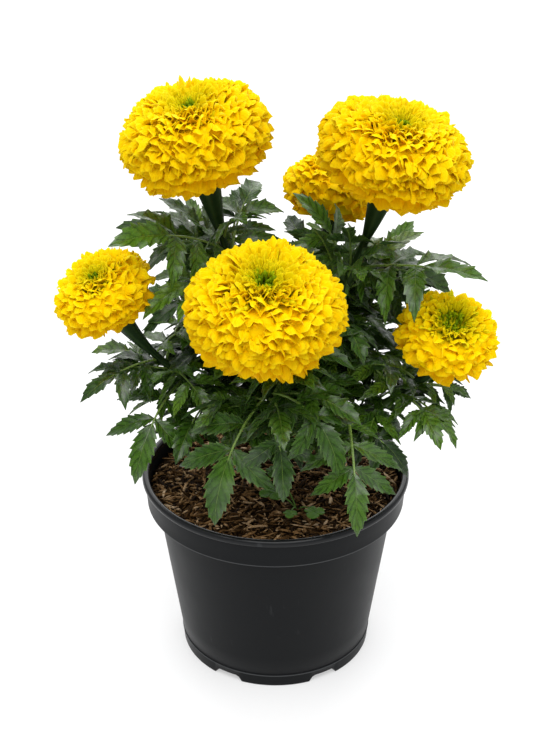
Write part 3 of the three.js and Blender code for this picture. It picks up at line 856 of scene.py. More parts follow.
def make_leaf_ribs(base, bend):
    """The tapering middle ribs of leaves, each a bent tube that sinks to nothing at both ends."""
    length = bend[2][:, None, None]
    step = np.linspace(0, 1, RIB_STEPS)[:, None]
    turn = full_turn(RIB_SIDES)
    thick = between(1.0, 0.32, step) * (0.6 + 0.4 * length / 70) * ((step > 0) & (step < 1))
    across, lift = thick * np.cos(turn), 0.8 * thick * np.sin(turn)
    points = bend_leaf(base, bend, 0.94 * length * step + 0 * turn, across, lift)
    faces = repeat_faces(ring_faces(RIB_STEPS, RIB_SIDES), len(base), RIB_STEPS * RIB_SIDES)
    return points.reshape(-1, 3), faces


def make_leaves(base, tip, droop, roll, seeds, form):
    """Leaves of one form, with pattern coordinates, tone, underside and rib for every point.

    The tone is drawn for each leaf and shifted a little for each leaflet. The underside and the rib are 1
    on the lower skin and on the rib, and 0 elsewhere.
    """
    bend = leaf_bend(base, tip, droop)
    middle = bend_leaf(base, bend, *leaflet_grid(bend[2], roll, seeds, form))
    rows, columns = middle.shape[2:4]
    points, faces = close_blades(middle.reshape(-1, rows, columns, 3), BLADE_THICKNESS)
    count, blade_points = points.shape[:2]
    tone = 0.8 * np.repeat(draw(seeds, 7), len(form["leaflets"])) + 0.2 * draw(np.arange(count), 8)
    under = np.tile(np.arange(blade_points) >= rows * columns, count)
    blades = {
        "points": points.reshape(-1, 3), "faces": faces,
        "uv": blade_pattern(tooth_rows(form), form["columns"], count),
        "tone": np.repeat(tone, blade_points), "underside": under, "rib": 0 * under,
    }
    rib_points, rib_faces = make_leaf_ribs(base, bend)
    ones = np.ones(len(rib_points))
    leaf_ribs = {
        "points": rib_points, "faces": rib_faces, "uv": np.full((len(ones), 2), 0.5),
        "tone": 0.5 * ones, "underside": 0 * ones, "rib": ones,
    }
    return join_parts(blades, leaf_ribs)


print("points on one rib:", RIB_STEPS * RIB_SIDES)

# %% [markdown]
# The large leaves come from the plan. A real bush is filled with smaller leaves on the same stems. They
# could be placed by hand too, but a rule fills every side alike: each is set round its stem by the golden
# angle. A small leaf is left out where it would reach into a bloom or the pot, and shortened where it would
# reach past the spread of the plant.

# %% Small leaves by rule
GOLDEN_ANGLE = math.radians(137.508)
SMALL_LEAVES_ELSEWHERE = 23
SMALL_LEAVES = {
    "main_stem": 34, "branch_front": 15, "branch_left": 15, "branch_right": 13, "shoot_front_right": 9,
}
SMALL_LENGTHS = (36, 60)
SMALL_RISES = (-20, 40)  # degrees above the level, from the base to the tip
SMALL_DROOPS = (40, 90)
FREE_LEVEL = 142  # lowest tip of a small leaf, clear of the mix
SPREAD = (106, 92)  # how far a small leaf may reach sideways, and forwards or backwards
BLOOM_CLEARANCE = 1.25  # the square of how much a head is swollen before leaves are kept out of it


def reaches_into_bloom(points):
    """True for each leaf with any sampled point inside a swollen head."""
    hit = np.zeros(len(points), bool)
    for bloom in BLOOMS.values():
        axis = head_axis(bloom)
        offset = points - np.array(bloom["centre"])
        up = offset @ axis
        out = np.linalg.norm(offset - up[..., None] * axis, axis=-1)
        hit |= ((out / bloom["radius"]) ** 2 + (up / bloom["rise"]) ** 2 < BLOOM_CLEARANCE).any(1)
    return hit


def small_leaves(name, seed):
    """Bases, tips, droops and rolls of the small leaves on one stem, by the golden angle and seeded draws."""
    count = SMALL_LEAVES.get(name, SMALL_LEAVES_ELSEWHERE)
    index = np.arange(count)
    low, high = (0.38, 0.76) if name == "main_stem" else (0.3, 0.74)
    base = bezier(stem_controls(name), between(low, high, (index + 0.5) / count))
    heading = GOLDEN_ANGLE * index + seed
    length = between(*SMALL_LENGTHS, draw(seed, index + 5))
    rise = np.radians(between(*SMALL_RISES, draw(seed, index + 55)))
    reach = length * np.cos(rise)
    offset = np.stack([reach * np.cos(heading), reach * np.sin(heading), length * np.sin(rise)], -1)
    room = (np.array(SPREAD) - np.abs(base[:, :2])) / np.maximum(np.abs(offset[:, :2]), 1)
    tip = base + offset * np.minimum(room.min(1), 1)[:, None]
    droop = between(*SMALL_DROOPS, draw(seed, index + 105))
    sampled = between(base[:, None], tip[:, None], np.linspace(0.25, 1, 6)[:, None])
    keep = ~reaches_into_bloom(sampled) & (tip[:, 2] > FREE_LEVEL)
    roll = between(-0.5, 0.5, draw(seed, index + 155))
    return base[keep], tip[keep], droop[keep], roll[keep]


print("small leaves:", {name: len(small_leaves(name, seed + 1)[0]) for seed, name in enumerate(STEMS)})

# %% [markdown]
# A leaf is deep green above, with sunken side veins and a yellow-green middle rib, and paler and duller
# below. The veins could be modelled, but they are finer than the mesh, so they are drawn on the pattern
# that follows each leaflet, and feed both the bump and the colour, where their darker green is painted
# shade in their grooves. The sheen comes and goes over the leaf, as a thin wax does, so it is a coat whose
# weight is a mottle.

# %% Leaf finish
def make_leaf_material():
    """Deep green, sunken side veins with painted shade, a yellow-green middle rib, a pale rim, a paler
    underside.
    """
    material, tree = new_material("marigold leaf", Specular_IOR_Level=0.12, Coat_Roughness=0.3, Coat_IOR=1.6)
    pattern, place = pattern_place(tree), object_place(tree)
    veins = ribs(tree, pattern, 6.0, 0.5, 0.22)
    fine = mottle(tree, place, 900.0)
    off_middle = off_centre(tree, coordinate(tree, pattern, 1), 0.5)
    middle = spread(tree, off_middle, 0.01, 0.032, 1, 0)
    tone = calculate(tree, "ADD", attribute(tree, "tone"), mottle(tree, place, 60.0, -0.2, 0.2))
    green = ramp(tree, tone, [
        (0.0, (0.011, 0.041, 0.001)), (0.4, (0.037, 0.108, 0.002)),
        (0.8, (0.088, 0.2, 0.01)), (1.0, (0.17, 0.31, 0.012)),
    ])
    # The darker green of the veins is painted shade in their grooves.
    green = blend_colours(tree, calculate(tree, "MULTIPLY", veins, 0.22), green, (0.012, 0.04, 0.004))
    green = blend_colours(tree, attribute(tree, "underside"), green, (0.055, 0.13, 0.025))
    green = blend_colours(tree, spread(tree, off_middle, 0.43, 0.49, 0, 0.5), green, (0.15, 0.27, 0.05))
    rib = calculate(tree, "MAXIMUM", attribute(tree, "rib"), calculate(tree, "MULTIPLY", middle, 0.5))
    colour = blend_colours(tree, rib, green, (0.2, 0.33, 0.055))
    roughness = spread(tree, fine, 0, 1, 0.3, 0.46)
    swell = calculate(tree, "MULTIPLY_ADD", fine, 0.25, mottle(tree, place, 420.0))
    height = calculate(tree, "SUBTRACT", swell, calculate(tree, "MAXIMUM", veins, middle))
    sheen = spread(tree, mottle(tree, place, 45.0), 0.3, 0.8, 0.15, 0.9)
    return connect_finish(material, colour, roughness, height, strength=0.9, distance=0.0014, coat=sheen)


LEAF_MATERIAL = make_leaf_material()

# %% Leaves on every stem
TURN_TO_LIGHT = 0.5  # how far a leaf that points sideways rolls its upper face forwards, in radians


def clothe_stem(name, seed):
    """Joins the large and the small leaves of one stem into one piece."""
    given = STEMS[name]["leaves"]
    base = bezier(stem_controls(name), [place for place, _, _ in given])
    tip = np.array([point for _, point, _ in given], float)
    droop = np.array([fall for _, _, fall in given], float)
    seeds = 100.0 * seed + np.arange(len(base))
    sideways = unit((tip - base)[:, :2])[:, 0]
    roll = TURN_TO_LIGHT * sideways + 0.4 * (draw(seeds, 3) - 0.5)
    large = make_leaves(base, tip, droop, roll, seeds, LARGE_LEAF)
    extra = small_leaves(name, seed)
    small = make_leaves(*extra, 100.0 * seed + 50 + np.arange(len(extra[0])), SMALL_LEAF)
    leaves = join_parts(large, small)
    add_piece(f"leaves_{name}", LEAF_MATERIAL, "leaf_and_stem", [name], sharp_angle=BLADE_RIM_ANGLE, **leaves)


for stem_seed, stem_name in enumerate(STEMS):
    clothe_stem(stem_name, stem_seed + 1)

# %% [markdown]
# ## Stems and calyxes
#
# A stem is round with shallow ridges. Under a head it swells into the calyx, a fluted dark green cup of
# bracts grown together. The ridges of the stem run on into the cup, so both are one tube whose radius
# changes along the path and round it. The finish follows two values that the tube stores for every point:
# how far the calyx has begun, and how near the point is to the crest of a ridge.

# %% Stem finish
def make_stem_material():
    """Green stem with paler ridges, turning to a very dark green on the calyx."""
    material, tree = new_material("stem and calyx", Specular_IOR_Level=0.12)
    place = object_place(tree)
    cloud, fine = mottle(tree, place, 150.0), mottle(tree, place, 1400.0)
    stem = blend_colours(tree, cloud, (0.035, 0.075, 0.012), (0.07, 0.125, 0.022))
    cup = blend_colours(tree, cloud, (0.005, 0.017, 0.004), (0.010, 0.028, 0.005))
    colour = blend_colours(tree, attribute(tree, "calyx"), stem, cup)
    crest = calculate(tree, "MULTIPLY", attribute(tree, "ridge"), 0.25)
    colour = blend_colours(tree, crest, colour, (0.06, 0.11, 0.03))
    roughness = spread(tree, fine, 0, 1, 0.4, 0.55)
    return connect_finish(material, colour, roughness, fine, strength=0.3, distance=0.0003)


STEM_MATERIAL = make_stem_material()

# %% Stems
STEM_STEPS = 60
STEM_SIDES = 30
STEM_RIDGES = 5
CALYX_FLUTES = 6
CALYX_LENGTH = 34
BRANCH_RADII = (2.2, 2.2, 2.1, 1.9)
SHOOT_RADII = (2, 1.9, 1.6, 1.2)
CUP_RADII = {"full": (4.2, 6.1, 6.9), "small": (3.3, 4.7, 5.4), "young": (3.3, 4.7, 5.4)}


def make_stem(name):
    """A tube along the stem's curve with ridges round it, which swells into the cup at its end.

    The radius runs through the stem's list, and then through the three radii of the cup. A ridge is a
    power of a cosine round the tube, and a little deeper on the cup.
    """
    stem = STEMS[name]
    blooms = "bloom" in stem
    step = np.linspace(0, 1, STEM_STEPS)
    path = bezier(stem_controls(name), step)
    length = np.linalg.norm(np.diff(path, axis=0), axis=1).sum()
    start = 1 - CALYX_LENGTH / length if blooms else 1.0
    radii = stem.get("radii", BRANCH_RADII if blooms else SHOOT_RADII)
    radius = np.interp(step, np.linspace(0, start, len(radii)), radii)
    swell, dark = 0 * step, 0 * step
    if blooms:
        share = np.clip((step - start) / (1 - start), 0, 1)
        cup = [radius[-1], *CUP_RADII[BLOOMS[stem["bloom"]]["form"]]]
        radius = np.where(share > 0, np.interp(share, np.linspace(0, 1, len(cup)), cup), radius)
        swell, dark = ease(start, 1, step), ease(start - 0.3, start, step)
    crests = CALYX_FLUTES if blooms else STEM_RIDGES
    ridge = np.abs(np.cos(0.5 * crests * full_turn(STEM_SIDES))) ** 0.7
    rings = radius[:, None] * (1 + between(0.1, 0.13, swell)[:, None] * (ridge - 0.6))
    points, faces = tubes(path[None], rings[None], STEM_SIDES)
    values = {"calyx": np.repeat(dark, STEM_SIDES), "ridge": np.tile(ridge**6, STEM_STEPS)}
    add_piece(f"stem_{name}", STEM_MATERIAL, "leaf_and_stem", [name], points, faces, **values)


for stem_name in STEMS:
    make_stem(stem_name)

# %% [markdown]
# ## Petals
#
# A double head is a ball of up to about five hundred ray petals. Each one is a narrow claw that fans out
# and frills at its end, and bends outwards as it opens. One petal could be modelled and copied, but copies
# show. Here every petal is worked out from its own draws: petals are set over the head by the golden angle,
# from the eye to the underside, and each ends on the head's outline.

# %% Forms of petals
def columns_from_middle(*steps):
    """Columns of a petal, the same on both sides of its middle, and closer together near its edges."""
    return np.array([*(-step for step in reversed(steps)), 0, *steps])


FRILLS = {  # the upright petals of the upper side: how many by form, between which angles, and their grid
    "full": 430, "small": 165, "young": 112, "start": 0, "end": 96, "crowding": 1.8,
    "rows": np.array([0, 0.5, 0.83, 1]),
    "columns": columns_from_middle(0.16, 0.32, 0.49, 0.66, 0.82, 0.95, 1),
}
UNDER_ANGLE = 136  # where the petals end, in degrees from the head's axis
FANS = {  # the open petals of the lower side
    "full": 96, "small": 46, "young": 28, "start": 78, "end": UNDER_ANGLE, "crowding": 1.2,
    "rows": np.array([0, 0.35, 0.66, 0.87, 1]),
    "columns": columns_from_middle(0.16, 0.32, 0.49, 0.66, 0.83, 0.95, 1),
}
EYE_EDGE = {"full": 21, "small": 23, "young": 31}  # where the petals begin, in degrees from the head's axis
print("petals in a head:", {form: FRILLS[form] + FANS[form] for form in EYE_EDGE})

# %% Where each petal ends
SQUARENESS = 2.5  # 2 makes the head's outline an ellipse, and more gives it fuller shoulders
LUMPS = 0.045  # how far the outline swells and shrinks round the head, as a share
STRAY_TURN, STRAY_POLAR = 0.16, 0.09  # how far petals stray from their places, in radians
END_SHARES = (0.93, 0.98)  # where on the way to the outline a petal ends
PETAL_LENGTHS = (0.23, 0.46)  # at the eye and on the underside, as shares of the reach


def outline_share(bloom, out, up):
    """How far a point is from the head's centre, as a share of the way to its outline, a superellipse."""
    share = np.abs(out / bloom["radius"]) ** SQUARENESS + np.abs(up / bloom["rise"]) ** SQUARENESS
    return share ** (1 / SQUARENESS)


def petal_places(bloom, layer, seed):
    """The polar angle, turn, age, reach and length of every petal of one layer.

    The turn follows the golden angle, and the cosine of the polar angle is spread evenly, as for even
    points on a ball, but crowded towards the eye. The age runs from 0 at the eye to 1 on the underside. The
    reach is the way from the centre to the outline, drawn in at both poles and changed by slow lumps.
    """
    form = bloom["form"]
    index = np.arange(layer[form])
    start = max(layer["start"], EYE_EDGE[form])
    low, high = math.cos(math.radians(start)), math.cos(math.radians(layer["end"]))
    polar = np.arccos(between(low, high, ((index + 0.5) / len(index)) ** layer["crowding"]))
    polar = polar + STRAY_POLAR * (draw(seed, index) - 0.5)
    turn = GOLDEN_ANGLE * index + STRAY_TURN * (draw(seed + 1, index) - 0.5)
    degrees = np.degrees(polar)
    age = np.clip((degrees - EYE_EDGE[form]) / (UNDER_ANGLE - EYE_EDGE[form]), 0, 1)
    reach = between(*END_SHARES, draw(seed + 2, index)) / outline_share(bloom, np.sin(polar), np.cos(polar))
    reach = reach * (1 - 0.2 * (1 - ease(15, 45, degrees)) - 0.1 * ease(95, 130, degrees))
    reach = reach * (1 + LUMPS * np.sin(3 * turn + 2.5 * polar + seed) * np.sin(2 * polar))
    return polar, turn, age, reach, reach * between(*PETAL_LENGTHS, age)


sample_places = petal_places(BLOOMS["front"], FRILLS, 20.0)
print(f"petals of the front head are {sample_places[4].min():.1f} to {sample_places[4].max():.1f} mm long")

# %% The curve of each petal
UPRIGHT = 0.12  # how much steeper than its polar angle a petal starts, in radians
BENDS = (12, 60)  # degrees that a petal bends outwards, at the eye and further down
BEND_DRAWS = (30, 24)  # how much that differs from petal to petal
CURLS = (-0.25, 0.75)  # of the very end, in radians
LARGEST_SLOPE = math.radians(172)


def petal_curves(places, rows, seed):
    """Slope, distance from the axis and height along every petal, in the plane of the head's axis.

    The slope from the axis starts near the polar angle and grows with a power of the way along, so the
    petal bends outwards, with a curl at its end. Steps along the slope, added up, give the curve, which is
    then moved so that it ends on the outline.
    """
    polar, _, age, reach, length = places
    index = np.arange(len(polar))
    bend = between(*BENDS, ease(0.05, 0.6, age)) + between(*BEND_DRAWS, age) * (draw(seed + 3, index) - 0.5)
    curl = between(*CURLS, draw(seed + 10, index)) + 0.5 * (1 - ease(0.1, 0.5, age))
    slope = polar[:, None] - UPRIGHT + np.radians(bend)[:, None] * rows**1.5 + curl[:, None] * rows**5
    slope = np.minimum(slope, LARGEST_SLOPE)
    middle = 0.5 * (slope[:, 1:] + slope[:, :-1])
    steps = np.diff(rows) * length[:, None]
    curve = []
    for part in (np.sin, np.cos):
        walked = np.concatenate([0 * polar[:, None], np.cumsum(part(middle) * steps, 1)], 1)
        curve.append(walked - walked[:, -1:] + (reach * part(polar))[:, None])
    return slope, *curve


sample_slope = np.degrees(petal_curves(sample_places, FRILLS["rows"], 20.0)[0])
print(f"they end at {sample_slope[:, -1].min():.0f} to {sample_slope[:, -1].max():.0f} degrees from the axis")

# %% The fan of each petal
HALF_WIDTHS = {  # at the top and at the foot of a head, as shares of its radius
    "full": (0.055, 0.235), "small": (0.07, 0.3), "young": (0.055, 0.43),
}
WIDTH_DRAWS = (0.8, 1.2)
CUPPING = (1.6, 0.25)  # half the angle of the arc across a petal, at the eye and further down, in radians
LONG_WAVE, SHORT_WAVE = 0.5, 0.13  # how high the two waves lift a petal's end, in half widths
WAVE_COUNTS = (1.1, 1.7)  # how many long waves lie across a petal
STANDING_OUT = 0.6  # share that is kept of what stands out of the head's outline


def petal_grid(bloom, layer, seed):
    """Middle surfaces of one layer of petals in the head's own frame, [petal, row, column, xyz], and ages.

    Across its curve a petal widens to a fan, which is an arc of a circle, tight near the eye and wide below.
    A long and a short wave across it, which grow towards its end, and a roll to one side lift it off its
    curve. Its end has rounded corners, and shallow lobes in step with the short wave. What stands out of
    the head's outline is drawn in by a part, so that the head keeps a soft limit.
    """
    places = petal_places(bloom, layer, seed)
    turn, age = (values[:, None, None] for values in places[1:3])
    slope, out, up = (values[:, :, None] for values in petal_curves(places, layer["rows"], seed))
    rows, across = layer["rows"][:, None], layer["columns"]
    chance = [draw(seed + 4 + n, np.arange(len(age)))[:, None, None] for n in range(6)]

    wide = bloom["radius"] * between(*HALF_WIDTHS[bloom["form"]], age**0.55)
    wide = wide * between(*WIDTH_DRAWS, chance[0])
    cupped = between(*CUPPING, ease(0, 0.36, age)) * between(0.75, 1.25, chance[4]) * (1.1 - 0.4 * rows)
    bow = wide * between(0.45, 1, ease(0, 0.8, rows)) / cupped
    waves = np.pi * (between(*WAVE_COUNTS, chance[3]) + 0.3 * ease(0.15, 0.6, age)) * across
    long_phase, short_phase = waves + 2 * np.pi * chance[1], 1.8 * waves + 2 * np.pi * chance[2]
    frill = LONG_WAVE * np.sin(long_phase) * rows ** between(1.5, 2.4, age) * between(1, 0.75, age)
    frill = (frill + SHORT_WAVE * np.sin(short_phase) * rows**5) * (1 - 0.4 * across**4)
    roll = between(1.2, 0.6, age) * (chance[5] - 0.5) * across * rows
    lift = wide * (frill + roll) + bow * (1 - np.cos(cupped * across))
    corner = 1 - np.sqrt(1 - np.abs(across) ** between(2.6, 5, ease(0.4, 0.7, age)))
    lobes = between(0.04, 0.07, age) * np.cos(short_phase)
    back = wide * rows**3 * (0.62 * corner + lobes)

    side = bow * np.sin(cupped * across)
    out = out - np.cos(slope) * lift - np.sin(slope) * back
    up = up + np.sin(slope) * lift - np.cos(slope) * back
    stands = np.maximum(outline_share(bloom, np.hypot(out, side), up), 1)
    drawn_in = between(1, stands, STANDING_OUT) / stands
    x, y = swing(out * drawn_in, side * drawn_in, turn)
    return np.stack([x, y, up * drawn_in], -1), places[2]


print("grid of the front head's petals:", petal_grid(BLOOMS["front"], FRILLS, 20.0)[0].shape)

# %% [markdown]
# A petal is vivid yellow. Its colour is painted a little deeper near its claw, deep in the head, and on the
# underside of the head, as painted shade, and lemon on its rim, as a painted highlight. A flat yellow would
# merge the petals into one mass, so the rims carry that painted highlight, each petal has its own tone, and
# the youngest lean to green. Light also passes a little way through so thin a blade, which a weak
# subsurface gives.

# %% Petal finish
def make_petal_material():
    """Vivid yellow: greener by the eye, painted shade at the claw and below, a painted lemon highlight on the
    rim, faint lines down each petal.
    """
    material, tree = new_material(
        "marigold petal", Specular_IOR_Level=0.03, Subsurface_Weight=0.3, Subsurface_Scale=0.0015,
        Subsurface_Radius=(1.0, 0.9, 0.1),
    )
    pattern, place = pattern_place(tree), object_place(tree)
    along, age = coordinate(tree, pattern, 0), attribute(tree, "age")
    off_middle = off_centre(tree, coordinate(tree, pattern, 1), 0.5)
    # Deeper orange towards the claw, deep inside the head: painted shade of the head's recesses.
    yellow_and_claw_shade = ramp(tree, along, [
        (0.0, (0.97, 0.6, 0.0)), (0.5, (0.98, 0.62, 0.0)),
        (0.8, (0.98, 0.64, 0.0)), (0.95, (0.99, 0.66, 0.001)),
    ])
    tone = calculate(tree, "ADD", attribute(tree, "tone"), mottle(tree, place, 90.0, -0.3, 0.3))
    colour = blend_colours(tree, spread(tree, tone, 0.3, 1.1, 0, 0.7), yellow_and_claw_shade, (0.98, 0.67, 0.001))
    colour = blend_colours(tree, spread(tree, age, 0.02, 0.2, 0.85, 0), colour, (0.55, 0.5, 0.002))
    # The lemon rim along each petal's end and edges is a painted highlight.
    end = spread(tree, along, 0.92, 0.99, 0, 1)
    sides = spread(tree, off_middle, 0.44, 0.49, 0, 1)
    sides = calculate(tree, "MULTIPLY", sides, spread(tree, along, 0.5, 0.8, 0, 1))
    rim = calculate(tree, "MULTIPLY", calculate(tree, "MAXIMUM", end, sides), 0.9)
    colour = blend_colours(tree, rim, colour, (1.0, 0.8, 0.008))
    # The deeper orange of the older petals on the underside is painted shade under the head.
    colour = blend_colours(tree, spread(tree, age, 0.35, 0.75, 0, 0.85), colour, (0.7, 0.38, 0.0))
    inputs = {"Vector": pattern, "Scale": 5.0, "Distortion": 1.0, "Detail": 1.0}
    lines = place_node(tree, "TexWave", inputs, bands_direction="Y").outputs["Fac"]
    fine = mottle(tree, place, 1200.0, 0.0, 0.5)
    roughness = spread(tree, fine, 0, 0.5, 0.5, 0.62)
    height = calculate(tree, "ADD", lines, fine)
    return connect_finish(material, colour, roughness, height, strength=0.3, distance=0.0003)


PETAL_MATERIAL = make_petal_material()

# %% Heads
PETAL_THICKNESS = 0.35
CORE_SIDES = 24
CORE = (  # section of the heart that closes the view through the petals, in radii and half heights
    (0, -0.6), (0.42, -0.6), (0.72, -0.46), (0.87, -0.12), (0.86, 0.34), (0.7, 0.69), (0.48, 0.71),
    (0.26, 0.55), (0, 0.44),
)


def to_head(points, bloom):
    """Turns points from the head's own frame to its lean and moves them to its centre."""
    turn = Vector((0, 0, 1)).rotation_difference(Vector(head_axis(bloom))).to_matrix()
    return points @ np.array(turn).T + np.array(bloom["centre"])


def petal_layer(bloom, layer, seed):
    """One layer of petals, with pattern coordinates, tone and age for every point."""
    middle, age = petal_grid(bloom, layer, seed)
    points, faces = close_blades(middle, PETAL_THICKNESS)
    count, blade_points = points.shape[:2]
    return {
        "points": points.reshape(-1, 3), "faces": faces,
        "uv": blade_pattern(layer["rows"], layer["columns"], count),
        "tone": np.repeat(draw(seed + 9, np.arange(count)), blade_points),
        "age": np.repeat(age, blade_points),
    }


def make_core(bloom):
    """The turned heart of a head, which takes the young petals' finish near the axis."""
    points, faces = turned(np.array(CORE) * (bloom["radius"], bloom["rise"]), CORE_SIDES)
    points = points.reshape(-1, 3)
    near_axis = np.hypot(points[:, 0], points[:, 1]) < 0.5 * bloom["radius"]
    return {
        "points": points, "faces": faces, "uv": np.full((len(points), 2), (0.75, 0.5)),
        "tone": np.full(len(points), 0.5), "age": np.where(near_axis, 0, 0.3),
    }


def make_head(name, seed):
    """The two layers of petals of a head and its core, as one piece."""
    bloom = BLOOMS[name]
    head = join_parts(make_core(bloom), petal_layer(bloom, FRILLS, seed), petal_layer(bloom, FANS, seed + 1))
    head["points"] = to_head(head["points"], bloom)
    nodes = [f"petals_{name}"]
    add_piece(f"bloom_{name}", PETAL_MATERIAL, "petal", nodes, sharp_angle=BLADE_RIM_ANGLE, **head)


for bloom_seed, bloom_name in enumerate(BLOOMS):
    make_head(bloom_name, 20.0 + 10 * bloom_seed)

# %% [markdown]
# ## Eyes
#
# In the middle of each head the youngest florets are still closed: thin green tubes that open to yellow at
# their tips. A button with a rough surface would look solid from close by, so each floret is a short tube
# that leans outwards a little more the further it stands from the axis. Its colour follows its ripeness.

# %% Eye finish
def make_eye_material():
    """Green at the middle of the eye, yellow-green further out, and yellow at the tips."""
    material, tree = new_material("young florets", Specular_IOR_Level=0.03)
    fine = mottle(tree, object_place(tree), 1000.0, -0.15, 0.15)
    colour = ramp(tree, calculate(tree, "ADD", attribute(tree, "ripe"), fine), [
        (0.0, (0.07, 0.15, 0.002)), (0.3, (0.26, 0.34, 0.002)),
        (0.6, (0.66, 0.6, 0.003)), (1.0, (0.98, 0.78, 0.006)),
    ])
    return connect_finish(material, colour, spread(tree, fine, -0.15, 0.15, 0.45, 0.6), fine)


EYE_MATERIAL = make_eye_material()

# %% Eyes
EYE_LEVEL = 0.4  # where the florets begin, as a share of the head's half height
EYE_RADII = {"full": 0.37, "small": 0.4, "young": 0.5}  # a little wider than the solid eye
FLORETS = {"full": 210, "small": 110, "young": 150}
FLORET_HEIGHTS = (0.34, 0.5)  # shares of the head's half height
FLORET_RADII = (0.017, 0.03)  # in the middle and at the edge of the eye, as shares of the head's radius
FLORET_LEANS = (0.05, 0.75)
FLORET_STEPS = 8
FLORET_SIDES = 6


def make_eye(name, seed):
    """Tubes on a sunflower spiral: the distance from the axis grows as the root of the count.

    A floret leaves its spot straight up, and leans out and to a side by the square of the way along. It
    is wider near its tip, and riper towards its tip and the edge of the eye.
    """
    bloom = BLOOMS[name]
    count = FLORETS[bloom["form"]]
    index = np.arange(count)[:, None]
    share = np.sqrt((index + 0.5) / count)
    spot = EYE_RADII[bloom["form"]] * bloom["radius"] * share
    height = bloom["rise"] * between(*FLORET_HEIGHTS, draw(seed, index)) * between(0.85, 1.15, share)
    lean = between(*FLORET_LEANS, share**2) + 0.7 * (draw(seed + 1, index) - 0.5)
    step = np.linspace(0, 1, FLORET_STEPS)
    out = spot + height * lean * step**2
    side = 0.9 * (draw(seed + 2, index) - 0.5) * height * step**2
    up = EYE_LEVEL * bloom["rise"] + height * (step - 0.25 * share * step**3)
    x, y = swing(out, side, GOLDEN_ANGLE * index)
    radius = bloom["radius"] * between(*FLORET_RADII, share) * (0.7 + 0.7 * ease(0.4, 0.9, step))
    points, faces = tubes(np.stack([x, y, up], -1), radius[:, :, None], FLORET_SIDES)
    ripe = np.repeat(share * (0.55 + 0.4 * ease(0.75, 1, step)), FLORET_SIDES)
    points = to_head(points, bloom)
    add_piece(f"florets_{name}", EYE_MATERIAL, "eye_floret", [f"eye_{name}"], points, faces, ripe=ripe)


for bloom_seed, bloom_name in enumerate(BLOOMS):
    make_eye(bloom_name, 5.0 + 3 * bloom_seed)

# %% [markdown]
# ## Potting mix
#
# The mix is coarse: shredded bark and fibre, dark and damp, with some paler chips. A bumpy surface alone
# would look like soil, so there are real splinters. The ground is a turned shape with a rough top. The bark
# is thousands of splinters of a few faces each, scattered by the golden angle, laid nearly flat and half
# sunk, thin and long where the bark is shredded.

# %% Height of the mix
SOIL_LEVEL = 103
SOIL_MOUND = 4


def soil_height(x, y):
    """The solid model's low mound with its two slow waves, before any fine roughness."""
    share = np.minimum(1, np.hypot(x, y) / BODY_TOP_RADIUS)
    rough = 1.1 * np.sin(0.31 * x + 1.3) * np.sin(0.27 * y) + 0.8 * np.sin(0.6 * x - 0.5 * y)
    return SOIL_LEVEL + SOIL_MOUND * (1 - share**2) + rough * (1 - share**6)


print(f"height of the mix at its middle: {soil_height(0, 0):.1f} mm")

# %% [markdown]
# Wet bark is never one brown. It runs from near black to straw from one splinter to the next, with streaks
# along each. An even brown with a rough bump would look like clay, so every splinter carries its own tone,
# and a mottle stretched along its own pattern gives the streaks, in the colour and in the bump alike.

# %% Bark finish
def make_bark_material():
    """Brown fibre: tone from dark to pale by chip, streaks along each splinter, damp and rough."""
    material, tree = new_material("shredded bark", Specular_IOR_Level=0.06)
    fibre = {"Vector": pattern_place(tree), "Scale": (1.0, 9.0, 1.0)}
    streaks = mottle(tree, place_node(tree, "Mapping", fibre).outputs[0], 3.0, -0.25, 0.25)
    fine = mottle(tree, object_place(tree), 900.0, -0.15, 0.15)
    height = calculate(tree, "ADD", streaks, fine)
    colour = ramp(tree, calculate(tree, "ADD", attribute(tree, "tone"), height), [
        (0.0, (0.005, 0.0025, 0.001)), (0.3, (0.036, 0.017, 0.005)), (0.55, (0.15, 0.078, 0.026)),
        (0.8, (0.38, 0.22, 0.095)), (1.0, (0.62, 0.45, 0.28)),
    ])
    return connect_finish(material, colour, spread(tree, fine, -0.15, 0.15, 0.7, 0.9), height)


BARK_MATERIAL = make_bark_material()

# %% Ground
GROUND_RINGS = 40
GROUND_SIDES = 144
SUNK = 0.6  # how far the ground lies below the mean height of the mix


def make_ground():
    """The top of the mix in fine rings, with its sides and floor, all as one closed turned shape."""
    floor = FLOOR_LEVEL + WALL + SEAM
    ledge = BAND_BOTTOM + WALL + SEAM
    edge = BAND_RADIUS - WALL - 2 * SEAM
    sides = [(body_radius(z) - WALL - 2 * SEAM, z) for z in (floor, ledge - 1)]
    below = [(0, floor), *sides, (edge - SEAM, ledge)]
    top = [(edge * (1 - t), SOIL_LEVEL) for t in np.linspace(0, 1, GROUND_RINGS)]
    points, faces = turned([*below, *top], GROUND_SIDES)
    x, y = points[len(below):, :, 0], points[len(below):, :, 1]
    crumb = 0.7 * np.sin(1.3 * x + 2 * np.sin(0.9 * y)) * np.sin(1.5 * y + 1.7 * np.sin(0.8 * x))
    points[len(below):, :, 2] = soil_height(x, y) + crumb * (np.hypot(x, y) < edge - 1) - SUNK
    points = points.reshape(-1, 3)
    return {"points": points, "faces": faces, "uv": points[:, :2] / 10, "tone": np.full(len(points), 0.12)}


ground = make_ground()
print("points in the ground:", len(ground["points"]))

# %% Splinters
CHIP_COUNT = 3600
CHIP_STEPS = 6
CHIP_SIDES = 5
CHIP_SPREAD = 69.5  # how far from the axis the middle of a splinter may lie
CHIP_LIMIT = 71.5  # how far from the axis a splinter may reach
CHIP_LENGTHS = (2.6, 17)
CHIP_WIDTHS = (0.28, 0.95)  # half widths
CHIP_FLATNESS = 0.75


